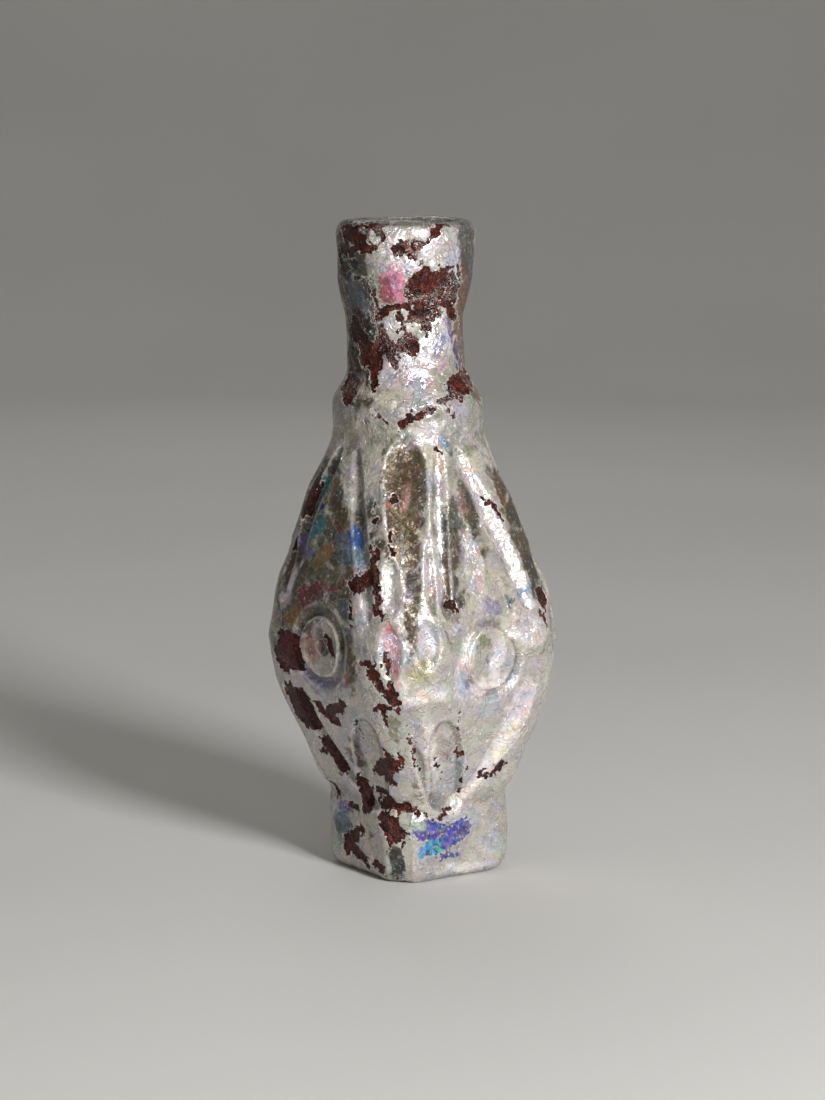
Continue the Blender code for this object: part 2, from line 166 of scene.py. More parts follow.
class StageSettings(bpy.types.PropertyGroup):
    """Floor, lights and camera."""

    floor_colour: colour("Floor", (0.67, 0.66, 0.64), "Pale paper under the bottle")
    view_angle: FloatProperty(
        name="View Angle", description="Direction the camera sees the bottle from",
        default=math.radians(-40.0), subtype="ANGLE",
    )
    view_rise: FloatProperty(
        name="View Rise", description="How far above level the camera stands",
        default=math.radians(8.5), subtype="ANGLE",
    )
    view_distance: length("View Distance", 0.400, "From the camera to the bottle's axis")
    view_height: length("View Height", 0.0419, "Height that the camera looks at")
    lens: FloatProperty(
        name="Lens", description="Focal length", default=100.5, unit="CAMERA"
    )
    world_strength: FloatProperty(
        name="Sky Strength", description="Even light from all round", default=0.02
    )


# Ground form

# Levels on the outline, as shares of the band that each is in
WAIST_SWELL_PLACE = 0.07
BELT_LOW_PLACE = 0.71
BELT_TOP_PLACE = 0.21
UPPER_BULGE_PLACE = 0.72
RING_LOW_PLACE = 0.14
RING_TOP_PLACE = 0.44
RING_END_PLACE = 0.80
FLARE_START_PLACE = 0.31
FLARE_END_PLACE = 0.55

# How far up and down the outline's turns are softened
SOFT_HEIGHT = 0.0008
SOFTENING_SAMPLES = 9

# Face distance as a share of the corner distance, and how far under the shoulder that changes
FOOT_SQUARENESS = 0.82
BODY_SQUARENESS = 0.835
SHOULDER_SQUARENESS = 0.91
SHOULDER_ROUNDING = 0.0046

# The foot's turn, its worn edge and the narrow flat on its front corner, and the lip's edge
FOOT_TURN = -6.0
FOOT_EDGE = 0.0018
FOOT_FACET_PLACE = 221.5
FOOT_FACET_DEPTH = 0.00035
FOOT_UNTWIST = 0.0032
LIP_ROUND = 0.0019

# The lean: how far the axis stands to one side at each level
LEAN_DIRECTION = -40.0
FOOT_OFFSET = 0.00085
UPPER_OFFSET = -0.00060
RING_OFFSET = -0.00055
NECK_OFFSET = -0.00095

# The wheel's strokes: shares are heights in a band, and places are degrees off a middle line
DISC_RING_STEEPNESS = 6.0
DISC_DISHING = 0.00040
DIMPLE_RADIUS = 0.0009
DIMPLE_DEPTH = 0.00035
ARM_SHARES = (0.17, 0.95)
ARM_BOW = 3.0
LOW_ARM_SHARES = (0.01, 0.75)
LOW_ARM_BOW = 6.0
PETAL_SHARES = (-0.06, 0.60)
PANEL_PLACES = (6.5, 2.5)
PANEL_SHARES = (0.17, 0.99)
GROOVE_WIDTH = 0.0016
GROOVE_DEPTH = 0.0006
GROOVE_PLACES = (13.0, 4.0)
GROOVE_SHARES = (0.02, 0.46)
NICK_WIDTH = 0.0015
NICK_REACH = 7.0
NICK_DEPTH = 0.00055
NICK_DROP = 0.0009

# Lens cuts: (degrees from the corner, low share, top share, width share)
LENSES = (
    (-3.0, 0.20, 0.47, 0.85),
    (-3.5, -0.10, 0.16, 0.97),
    (14.5, 0.20, 0.57, 0.58),
    (11.5, -0.05, 0.19, 1.00),
)

# A stroke's shape: how blunt its ends are, how flat its floor is, where it is widest
LENS_SHAPE = (2.0, 2.0, 1.0)
ARM_SHAPE = (4.0, 2.0, 1.0)
PETAL_SHAPE = (3.0, 8.0, 0.75)
PANEL_SHAPE = (3.0, 3.0, 2.0)

# Each face's strokes, in degrees off its middle line: (upper end, lower end)
Face = namedtuple("Face", "direction left_arm right_arm low_arm petal disc_turn disc_rise")
FACES = (
    Face(0.0, (-8.0, -27.0), (7.0, 28.0), (-23.0, 1.0), (25.0, 19.0), 1.0, 0.05),
    Face(90.0, (-6.0, -27.0), (8.0, 27.0), (24.0, -1.0), (-25.0, -19.0), -1.5, -0.07),
    Face(180.0, (-9.0, -28.0), (10.0, 32.0), (-20.0, 6.0), (25.0, 19.0), -0.5, 0.08),
    Face(270.0, (-18.0, -24.0), (-2.0, 25.0), (24.0, -4.0), (-26.0, -19.0), 0.5, -0.22),
)
CORNERS = (45.0, 135.0, 225.0, 315.0)
NICKED_CORNERS = (135.0, 315.0)
NEAR_NOTHING = 1e-6
LEAST_COSINE = 0.1

# Slow waves over the surface: (times round, times up, start)
SURFACE_WAVE = 0.00006
SURFACE_WAVE_LENGTH = 0.024
SURFACE_WAVES = ((3.0, 1.0, 0.0), (5.0, -1.6, 1.3), (2.0, 2.7, 0.4))

# How far a vertex may be from the form and still be brought onto it
GRIND_REACH = 0.0007

# How far inside the outer surface the inner wall's vertices begin
INNER_START = 0.0012

Stroke = namedtuple("Stroke", "centre low top width depth bow shape")


def turned(angle):
    """An angle in degrees brought between -180 and 180."""
    return (angle + 180.0) % 360.0 - 180.0


def smooth_step(value, low, high):
    """0 below low, 1 above high, and a soft turn between."""
    share = np.clip((value - low) / (high - low), 0.0, 1.0)
    return share * share * (3.0 - 2.0 * share)


class GroundForm:
    """The bottle's outside as the wheel left it: a radius for each angle and height."""

    def __init__(self, sizes):
        self.sizes = sizes
        self.waist = sizes.foot_height
        self.belt = self.waist + sizes.lower_height
        self.shoulder = self.belt + sizes.upper_height
        self.throat = self.shoulder + sizes.ring_height
        self.rim = self.throat + sizes.neck_height
        self.belt_low = self.lower(BELT_LOW_PLACE)
        self.belt_top = self.upper(BELT_TOP_PLACE)
        self.full = self.upper(UPPER_BULGE_PLACE)
        self.ring_low = self.shoulder + RING_LOW_PLACE * sizes.ring_height
        self.outline = list(zip(*self.outline_points()))
        self.strokes = [stroke for face in FACES for stroke in self.face_strokes(face)]
        self.strokes += [stroke for corner in CORNERS for stroke in self.corner_strokes(corner)]

    def upper(self, share):
        return self.belt + share * self.sizes.upper_height

    def lower(self, share):
        return self.waist + share * self.sizes.lower_height

    def outline_points(self):
        """The outline as (height, corner radius) points, straight between them."""
        s = self.sizes
        edge = s.belt_radius - s.belt_fall
        slope = (s.shoulder_radius - edge) / (self.shoulder - self.belt_top)
        fullness = edge + slope * (self.full - self.belt_top) + s.upper_bulge
        return (
            (0.0, s.foot_base_radius),
            (self.waist - 2.0 * SOFT_HEIGHT, s.foot_top_radius),
            (self.waist, s.waist_radius),
            (self.lower(WAIST_SWELL_PLACE), s.waist_radius + s.waist_swell),
            (self.belt_low, edge),
            (self.belt, s.belt_radius),
            (self.belt_top, edge),
            (self.full, fullness),
            (self.shoulder, s.shoulder_radius),
            (self.ring_low, s.ring_radius),
            (self.shoulder + RING_TOP_PLACE * s.ring_height, s.ring_radius),
            (self.shoulder + RING_END_PLACE * s.ring_height, s.throat_radius),
            (self.throat + FLARE_START_PLACE * s.neck_height, s.throat_radius),
            (self.throat + FLARE_END_PLACE * s.neck_height, s.flare_radius),
            (self.rim, s.rim_radius),
        )

    def face_strokes(self, face):
        """A face's two arms over its disc, and the arm and the petal below it."""
        s = self.sizes
        middle, high = map(self.upper, ARM_SHARES)
        for arm in (face.left_arm, face.right_arm):
            ends = (arm[1], middle), (arm[0], high)
            bow = math.copysign(ARM_BOW, arm[1])
            yield Stroke(face.direction, *ends, s.arm_width, s.arm_depth, bow, ARM_SHAPE)
        low, high = map(self.lower, LOW_ARM_SHARES)
        ends = (face.low_arm[1], low), (face.low_arm[0], high)
        bow = math.copysign(LOW_ARM_BOW, face.low_arm[0])
        yield Stroke(face.direction, *ends, s.arm_width, s.arm_depth, bow, ARM_SHAPE)
        low, high = map(self.lower, PETAL_SHARES)
        ends = (face.petal[1], low), (face.petal[0], high)
        yield Stroke(face.direction, *ends, s.petal_width, s.petal_depth, 0.0, PETAL_SHAPE)

    def corner_strokes(self, corner):
        """The hollow panel under the shoulder, the lens cuts and the groove over the foot."""
        s = self.sizes
        ends = zip(PANEL_PLACES, map(self.upper, PANEL_SHARES))
        yield Stroke(corner, *ends, s.panel_width, s.panel_depth, 0.0, PANEL_SHAPE)
        for place, low, top, width in LENSES:
            ends = (place, self.upper(low)), (place, self.upper(top))
            width = width * s.lens_width
            yield Stroke(corner, *ends, width, s.lens_depth, 0.0, LENS_SHAPE)
        ends = zip(GROOVE_PLACES, map(self.lower, GROOVE_SHARES))
        yield Stroke(corner, *ends, GROOVE_WIDTH, GROOVE_DEPTH, 0.0, LENS_SHAPE)

    def corner_radius(self, height):
        """Distance from the axis to a corner of the section, with soft turns."""
        steps = np.linspace(-SOFT_HEIGHT, SOFT_HEIGHT, SOFTENING_SAMPLES)
        return sum(np.interp(height + step, *self.outline) for step in steps) / len(steps)

    def middle(self, height):
        """The leaning axis's x and y at a height."""
        lean = math.radians(LEAN_DIRECTION)
        offset = self.axis_offset(height)
        return offset * math.cos(lean), offset * math.sin(lean)

    def places(self, angle, height, radius):
        """Points at angles and radii about the leaning axis, as an array of x, y, z."""
        x, y = self.middle(height)
        turn = np.radians(angle)
        return np.stack((x + radius * np.cos(turn), y + radius * np.sin(turn), height), axis=-1)

    def squareness(self, height):
        """Face distance as a share of the corner distance: 1 is a full round."""
        heights = (self.waist, self.belt_low, self.belt_top)
        heights += (self.shoulder - SHOULDER_ROUNDING, self.ring_low)
        shares = (FOOT_SQUARENESS, BODY_SQUARENESS, BODY_SQUARENESS, SHOULDER_SQUARENESS, 1.0)
        return np.interp(height, heights, shares)

    def axis_offset(self, height):
        """How far the leaning axis stands from the Z axis."""
        heights = (0.5 * self.waist, self.belt, self.full, self.ring_low, self.throat)
        offsets = (FOOT_OFFSET, 0.0, UPPER_OFFSET, RING_OFFSET, NECK_OFFSET)
        return np.interp(height, heights, offsets)

    def uncut_radius(self, angle, height):
        """Radius of the ground blank, before the wheel has cut into it."""
        foot_share = 1.0 - smooth_step(height, self.waist, self.waist + FOOT_UNTWIST)
        section_angle = angle - FOOT_TURN * foot_share
        corner = self.corner_radius(height)
        radius = rounded_square(section_angle, corner, self.squareness(height))
        off_facet = np.radians(turned(section_angle - FOOT_FACET_PLACE))
        facet = (corner - FOOT_FACET_DEPTH) / np.maximum(np.cos(off_facet), LEAST_COSINE)
        return np.where(height < self.waist, np.minimum(radius, facet), radius)

    def disc_depth(self, face, angle, height, radius):
        """Depth of the ring groove round a face's disc, of its dished top and its dimple."""
        s = self.sizes
        off_disc = turned(angle - face.direction - face.disc_turn)
        above = height - self.belt - face.disc_rise * s.disc_radius
        out = np.hypot(radius * np.sin(np.radians(off_disc)), above)
        floor = 1.0 - np.clip((out - s.disc_radius) / s.disc_ring_width, 0.0, 1.0)
        ring = floor * (1.0 - floor**DISC_RING_STEEPNESS) * s.disc_ring_depth
        dish = np.clip(1.0 - (out / s.disc_radius) ** 2, 0.0, 1.0) * DISC_DISHING
        dimple = np.clip(1.0 - (out / DIMPLE_RADIUS) ** 2, 0.0, 1.0) * DIMPLE_DEPTH
        return np.where(np.abs(off_disc) < 90.0, np.maximum(ring, dish + dimple), 0.0)

    def nick_depth(self, corner, angle, height):
        """Depth of the short level nick across a corner, just below the belt."""
        up = 1.0 - np.abs(height - self.belt + NICK_DROP) / (0.5 * NICK_WIDTH)
        round_corner = 1.0 - (turned(angle - corner) / NICK_REACH) ** 2
        return NICK_DEPTH * np.clip(up, 0.0, 1.0) * np.clip(round_corner, 0.0, 1.0)

    def outer_radius(self, angle, height):
        """Radius of the finished outside: the blank less the deepest cut, a little wavy."""
        radius = self.uncut_radius(angle, height)
        cuts = [stroke_depth(stroke, angle, height, radius) for stroke in self.strokes]
        cuts += [self.disc_depth(face, angle, height, radius) for face in FACES]
        cuts += [self.nick_depth(corner, angle, height) for corner in NICKED_CORNERS]
        turn = np.radians(angle)
        rise = 2.0 * np.pi * height / SURFACE_WAVE_LENGTH
        waves = 0.0
        for times_round, times_up, start in SURFACE_WAVES:
            waves += np.sin(times_round * turn + times_up * rise + start)
        return radius - np.maximum.reduce(cuts) + SURFACE_WAVE * waves


def rounded_square(angle, corner, share):
    """Radius of a rounded square whose faces look along 0, 90, 180 and 270 degrees."""
    face = corner * share
    rounding = corner * (math.sqrt(2.0) * share - 1.0) / (math.sqrt(2.0) - 1.0)
    centre = face - rounding
    off_face = np.radians((angle + 45.0) % 90.0 - 45.0)
    flat = face / np.cos(off_face)
    along = centre * (np.cos(off_face) + np.abs(np.sin(off_face)))
    arc = along + np.sqrt(np.maximum(rounding**2 - 2.0 * centre**2 + along**2, 0.0))
    return np.where(face * np.abs(np.tan(off_face)) <= centre, flat, arc)


def stroke_depth(stroke, angle, height, radius):
    """Depth of one wheel stroke at an angle and a height."""
    low, top = stroke.low, stroke.top
    end_bluntness, floor_flatness, widest = stroke.shape
    share = np.clip((height - low[1]) / (top[1] - low[1]), 0.0, 1.0)
    bow = stroke.bow * 4.0 * share * (1.0 - share)
    off_middle = turned(angle - stroke.centre - low[0] - (top[0] - low[0]) * share - bow)
    slant = radius * math.radians(top[0] - low[0]) / (top[1] - low[1])
    across = radius * np.radians(off_middle) / np.sqrt(1.0 + slant**2)
    along = 2.0 * share**widest - 1.0
    taper = np.sqrt(np.clip(1.0 - np.abs(along) ** end_bluntness, 0.0, 1.0))
    half_width = 0.5 * stroke.width * taper + NEAR_NOTHING
    hollow = 1.0 - np.minimum(np.abs(across) / half_width, 1.0) ** floor_flatness
    return stroke.depth * taper * hollow


# Weathering. A dab is a stroke of a brush over the photo's frame, in its pixels:
# (start across, start down, end across, end down, half width)

# Direction from the axis to the camera
FRONT = 230.0

# The photo's frame in pixels, the camera's sensor and a pixel's width in millimetres
FRAME_WIDTH = 825
FRAME_HEIGHT = 1100
SENSOR = 36.0
PIXEL = 0.13

# The net of places over the seen side, on which a pixel is looked up
NET_SPAN = 88.0
NET_TURN = 0.5
NET_RISE = 0.0002

# How much wider a dab comes out, the least it is foreshortened, and how square its ends are
DAB_GROWTH = 1.12
GRAZING = 0.45
BLOCKINESS = 2.6

# How far a place is pulled to the middle of its chip, for patches and for films
CHIP_PULL = 0.6
FILM_PULL = 0.15

# Over which width an arris is felt for, and the rise that counts as a full one
RIDGE_WIDTH = 0.0004
RIDGE_RISE = 0.00025

# Millimetres outside a patch, where there is none
OUT_OF_REACH = -9.0

# Share of the patches that come again on the far side, and how far each is moved there, in
# degrees and millimetres
BARE_KEPT = 0.65
SILVER_KEPT = 0.80
THIN_KEPT = 0.80
FILMS_KEPT = 0.45
HIDDEN_TURN = 5.0
HIDDEN_RISE = 1.5

# Sizes of the wander, the lumps and the pits, as multiples of the tear size
WANDER_SIZE = 2.5
LUMP_SIZE = 5.0
PIT_SIZE = 0.9

# Millimetres inside a patch, or outside it, at which a mark starts and is full
MIRROR_FADE = (-0.4, 0.5)
THIN_FADE = (-0.8, 0.8)
FLAKE_FADE = (-0.05, 0.2)

# Values of the noise at which a pit starts and is full
PIT_FADE = (0.62, 0.85)

# Numbers that are kept for each vertex, for the material to read
MARKS = ("flaked", "mirror", "thin", "layers", "ridge")

# Where the crust has come off and the red-brown layer is bare
BARE_DABS = (
    # neck
    (400, 251, 412, 249, 6), (407, 256, 418, 260, 2.5), (415, 251, 427, 243, 3),
    (430, 238, 445, 223, 3.2), (437, 221, 450, 218, 3), (424, 288, 438, 288, 17),
    (443, 270, 446, 302, 3), (418, 312, 432, 315, 7), (424, 318, 428, 331, 4.5),
    (383, 307, 415, 308, 2.6), (397, 310, 402, 325, 2), (410, 312, 412, 322, 2),
    (376, 316, 390, 310, 5), (383, 340, 391, 350, 7), (391, 350, 395, 366, 3.5),
    (380, 325, 382, 338, 3), (402, 347, 411, 345, 8), (404, 330, 406, 340, 3),
    (446, 300, 455, 317, 4), (451, 275, 455, 297, 5), (457, 262, 459, 275, 2),
    (352, 322, 356, 334, 5), (362, 338, 366, 362, 6), (374, 345, 375, 382, 5),
    (338, 258, 346, 268, 4), (340, 245, 350, 252, 5), (343, 232, 362, 238, 6),
    (360, 218, 384, 216, 4), (379, 224, 381, 238, 3.2), (354, 243, 370, 247, 5),
    (356, 278, 364, 278, 2.5), (373, 285, 376, 308, 2),
    # ring
    (450, 390, 468, 375, 7), (440, 400, 455, 390, 3.5), (346, 382, 352, 393, 7),
    (347, 398, 346, 404, 3), (402, 427, 409, 415, 4), (412, 418, 431, 410, 4),
    (374, 414, 385, 421, 2), (440, 403, 456, 418, 1.2),
    # upper body
    (316, 470, 303, 512, 5), (305, 505, 299, 530, 4), (296, 530, 288, 545, 4),
    (355, 586, 368, 578, 8), (373, 558, 376, 595, 4), (377, 595, 379, 614, 4.5),
    (376, 508, 372, 525, 2.5), (371, 548, 380, 558, 3), (388, 497, 395, 505, 2.5),
    (436, 448, 441, 452, 2), (451, 605, 456, 611, 3), (348, 606, 352, 630, 2),
    (540, 590, 546, 605, 3), (541, 610, 546, 622, 1.5), (488, 498, 501, 516, 1.2),
    (278, 630, 292, 638, 5), (281, 650, 288, 664, 8), (292, 642, 297, 668, 4),
    (327, 640, 332, 654, 3.8), (391, 535, 394, 556, 1.6),
    # lower body
    (358, 664, 376, 666, 3), (370, 672, 381, 690, 5), (382, 652, 386, 672, 2.2),
    (391, 684, 396, 692, 3.5), (386, 692, 395, 706, 5), (383, 708, 385, 722, 3),
    (378, 710, 388, 707, 2.5), (297, 692, 308, 722, 7.5), (290, 689, 297, 700, 5),
    (314, 702, 326, 714, 3), (326, 714, 341, 706, 5), (330, 720, 338, 723, 4),
    (358, 722, 362, 735, 1.8), (320, 748, 330, 750, 4), (328, 740, 332, 755, 3),
    (334, 756, 345, 770, 3.6), (376, 770, 396, 766, 6.5), (386, 756, 390, 765, 4),
    (399, 755, 401, 768, 3), (386, 776, 392, 783, 5), (361, 781, 368, 806, 6.5),
    (375, 785, 392, 800, 3), (380, 801, 411, 807, 4), (388, 795, 398, 812, 4),
    (404, 811, 426, 814, 2.2), (350, 803, 357, 808, 3), (324, 784, 338, 796, 1.4),
    (456, 752, 461, 757, 2), (436, 760, 439, 772, 0.9), (481, 773, 487, 770, 1.2),
    (489, 775, 497, 772, 2.8), (496, 770, 505, 766, 2.4), (459, 719, 459, 735, 1),
    (465, 774, 458, 794, 1), (447, 805, 441, 817, 2.2), (428, 817, 440, 819, 1.1),
    (411, 738, 416, 770, 1.2),
    # foot
    (384, 820, 397, 834, 8.5), (387, 838, 388, 846, 3), (399, 836, 400, 845, 3),
    (345, 846, 356, 834, 4.5), (352, 848, 362, 858, 4.5), (364, 858, 367, 866, 2),
    (359, 822, 362, 832, 2.5), (375, 864, 381, 870, 4.5), (398, 881, 405, 883, 2),
)

# Where the film is as bright as silver: partly a real silvery film, partly painted highlights along
# the arms, the petal, the belt and the neck's front
SILVER_DABS = (
    # neck
    (390, 235, 410, 238, 16), (389, 258, 402, 262, 11), (412, 262, 420, 272, 6),
    (432, 256, 447, 239, 10), (452, 228, 454, 255, 6), (387, 322, 389, 330, 6),
    (400, 318, 404, 330, 4), (410, 365, 440, 345, 13), (438, 318, 446, 340, 7),
    (400, 372, 430, 386, 11), (386, 366, 395, 380, 5), (448, 263, 452, 278, 4),
    (453, 300, 455, 306, 3),
    # shoulder
    (410, 437, 440, 425, 5), (398, 446, 430, 441, 3.5),
    # upper body
    (437, 460, 441, 500, 4.5), (436, 510, 440, 540, 2.5), (434, 541, 438, 548, 4),
    (427, 555, 424, 606, 3.2), (436, 560, 440, 600, 4.5), (459, 455, 479, 490, 4.2),
    (480, 490, 498, 530, 4.6), (498, 530, 515, 568, 4.4), (514, 568, 530, 601, 3.4),
    (466, 535, 471, 548, 5), (471, 550, 480, 600, 7), (384, 566, 388, 602, 5.5),
    (392, 580, 405, 601, 4.5), (394, 606, 400, 622, 5.5), (348, 470, 356, 500, 4),
    (283, 602, 296, 572, 4), (358, 604, 362, 630, 7), (516, 626, 540, 636, 8),
    # belt
    (425, 618, 427, 648, 8), (386, 636, 399, 650, 9), (398, 650, 404, 692, 5.5),
    (460, 686, 472, 638, 7),
    (500, 643, 496, 676, 5), (466, 694, 500, 682, 6), (410, 702, 440, 692, 7),
    # lower body
    (425, 722, 435, 768, 5.5), (527, 688, 501, 745, 7), (501, 745, 479, 780, 6),
    (479, 780, 452, 811, 5),
    # foot
    (440, 871, 486, 863, 3),
)

# Where the crust is thin and the dark glass shows through; the large dabs on the left side are also
# painted shade
THIN_DABS = (
    # neck
    (345, 235, 350, 300, 14), (355, 320, 360, 368, 14), (468, 232, 463, 330, 8),
    (384, 342, 391, 362, 6),
    # upper body
    (330, 480, 300, 560, 16), (310, 560, 288, 615, 16), (345, 520, 340, 600, 16),
    (375, 505, 378, 560, 7), (402, 455, 404, 540, 16), (412, 555, 412, 600, 7),
    (450, 512, 452, 610, 9), (408, 606, 412, 650, 6), (356, 396, 366, 404, 6),
    (505, 470, 540, 590, 9), (462, 482, 480, 545, 6),
    # lower body
    (345, 640, 352, 680, 8), (318, 642, 320, 652, 9), (418, 775, 421, 800, 3),
    (298, 694, 307, 720, 6), (334, 760, 342, 768, 5),
    (355, 740, 362, 768, 5),
    # foot
    (395, 856, 397, 870, 9), (343, 820, 345, 835, 8), (368, 826, 372, 842, 5),
)

# Thin films and stains: (colour, how strongly it covers, dabs). The near-black film on the neck's
# left side is partly painted shade, and the cream and pink films on the lower arm tint its painted
# highlight.
FILMS = (
    ((0.90, 0.30, 0.46), 0.85, ((393, 275, 400, 300, 9),)),
    ((0.42, 0.05, 0.1), 0.80, ((383, 284, 388, 299, 6),)),
    ((0.80, 0.20, 0.22), 0.75, ((388, 628, 396, 668, 7), (393, 664, 396, 676, 4))),
    ((0.26, 0.24, 0.62), 0.80, (
        (408, 272, 412, 300, 3.5), (417, 381, 421, 382, 3), (436, 357, 440, 359, 2.5),
    )),
    ((0.72, 0.42, 0.28), 0.75, (
        (415, 288, 418, 303, 2.6), (400, 447, 412, 449, 2), (436, 456, 439, 464, 3),
        (395, 548, 397, 562, 2.5), (428, 606, 430, 590, 2),
    )),
    # Near-black film on the neck's left side: partly dark weathering, partly painted shade
    ((0.022, 0.026, 0.02), 0.90, (
        (344, 221, 362, 232, 12), (342, 250, 348, 268, 8), (362, 315, 371, 350, 8),
        (372, 296, 374, 330, 5), (350, 330, 354, 362, 5), (366, 350, 371, 378, 5),
    )),
    ((0.12, 0.14, 0.18), 0.85, (
        (351, 288, 360, 310, 9), (350, 365, 358, 374, 6), (340, 606, 348, 618, 6),
        (345, 628, 350, 640, 4),
    )),
    ((0.025, 0.025, 0.22), 0.85, (
        (335, 250, 339, 292, 2.5), (318, 508, 325, 507, 2.6), (350, 586, 354, 577, 3),
        (341, 803, 349, 808, 5), (436, 816, 446, 817, 1.6),
    )),
    ((0.08, 0.03, 0.18), 0.85, (
        (438, 220, 448, 216, 3), (447, 310, 453, 335, 2.6), (454, 340, 459, 364, 2.4),
    )),
    ((0.12, 0.08, 0.5), 0.90, ((438, 350, 443, 340, 4),)),
    ((0.6, 0.3, 0.46), 0.75, (
        (406, 379, 415, 378, 3), (441, 365, 444, 368, 2.5), (384, 636, 398, 641, 3),
    )),
    ((0.2, 0.11, 0.06), 0.85, ((462, 270, 465, 366, 6), (464, 376, 479, 396, 6))),
    ((0.15, 0.15, 0.145), 0.75, ((466, 226, 471, 300, 6),)),
    ((0.05, 0.14, 0.38), 0.89, ((355, 535, 357, 547, 6.5),)),
    ((0.18, 0.31, 0.43), 0.80, (
        (347, 550, 358, 561, 7), (462, 680, 468, 690, 7), (441, 441, 444, 444, 3),
    )),
    ((0.14, 0.20, 0.25), 0.80, ((340, 535, 343, 562, 5),)),
    ((0.05, 0.17, 0.21), 0.88, (
        (322, 495, 330, 480, 5), (311, 531, 319, 525, 5), (508, 599, 512, 603, 3),
    )),
    ((0.11, 0.18, 0.24), 0.80, ((338, 818, 346, 828, 7),)),
    ((0.05, 0.018, 0.008), 0.85, ((357, 316, 361, 366, 7), (346, 352, 350, 374, 5))),
    ((0.02, 0.25, 0.46), 0.90, ((522, 588, 524, 594, 2.6),)),
    ((0.16, 0.14, 0.33), 0.85, ((302, 540, 308, 555, 5),)),
    ((0.34, 0.32, 0.50), 0.65, ((488, 602, 498, 612, 5),)),
    ((0.24, 0.22, 0.36), 0.80, ((307, 672, 318, 684, 6), (318, 684, 340, 686, 6))),
    ((0.20, 0.040, 0.055), 0.88, (
        (304, 592, 322, 588, 5), (322, 588, 342, 584, 4), (303, 590, 305, 606, 4),
        (338, 515, 342, 526, 4),
    )),
    ((0.26, 0.14, 0.03), 0.85, (
        (318, 562, 330, 548, 5), (290, 621, 298, 610, 4), (345, 672, 350, 690, 5.5),
    )),
    ((0.12, 0.13, 0.085), 0.80, ((320, 574, 335, 580, 7), (312, 616, 330, 606, 6))),
    ((0.125, 0.086, 0.045), 0.90, (
        (334, 500, 345, 520, 6), (345, 640, 352, 666, 5), (403, 462, 405, 498, 20),
        (409, 515, 413, 560, 8), (392, 515, 394, 540, 5), (448, 580, 452, 610, 6),
        (411, 604, 412, 650, 5),
        (416, 775, 422, 799, 2.2), (350, 752, 360, 765, 5),
    )),
    ((0.38, 0.2, 0.18), 0.65, (
        (405, 488, 406, 506, 4), (460, 494, 462, 506, 4), (308, 644, 314, 656, 6),
        (446, 751, 448, 757, 3),
    )),
    ((0.45, 0.15, 0.08), 0.75, ((387, 505, 393, 503, 3),)),
    ((0.1, 0.11, 0.09), 0.80, ((451, 513, 460, 530, 7), (445, 522, 450, 546, 4.5))),
    ((0.5, 0.46, 0.22), 0.65, ((408, 676, 424, 670, 8),)),
    ((0.24, 0.21, 0.12), 0.75, ((484, 640, 490, 642, 5), (391, 718, 395, 735, 5))),
    ((0.48, 0.4, 0.34), 0.55, ((430, 735, 441, 747, 8), (472, 672, 475, 686, 3))),
    ((0.055, 0.048, 0.36), 0.95, (
        (424, 831, 444, 834, 10), (446, 842, 462, 828, 9), (440, 855, 452, 856, 4),
    )),
    ((0.02, 0.27, 0.55), 0.95, ((424, 852, 436, 846, 6.5),)),
    ((0.03, 0.4, 0.33), 0.95, ((437, 846, 440, 851, 3),)),
    ((0.33, 0.48, 0.4), 0.70, ((412, 817, 420, 826, 4.5), (338, 840, 342, 850, 5))),
    ((0.055, 0.055, 0.055), 0.90, ((394, 855, 398, 868, 8),)),
    ((0.45, 0.52, 0.6), 0.65, ((492, 834, 494, 846, 5), (449, 263, 453, 270, 4))),
    # Cream and pink films on the lower arm: tints of its silver film, which is partly a painted
    # highlight
    ((0.80, 0.76, 0.50), 0.75, ((487, 769, 514, 718, 5),)),
    ((0.70, 0.52, 0.48), 0.80, ((516, 714, 528, 690, 4), (466, 797, 480, 777, 3.5))),
    ((0.50, 0.47, 0.43), 0.70, ((350, 464, 354, 498, 4.5), (352, 505, 348, 530, 3))),
)

Patch = namedtuple("Patch", "angle height wide tall tilt")


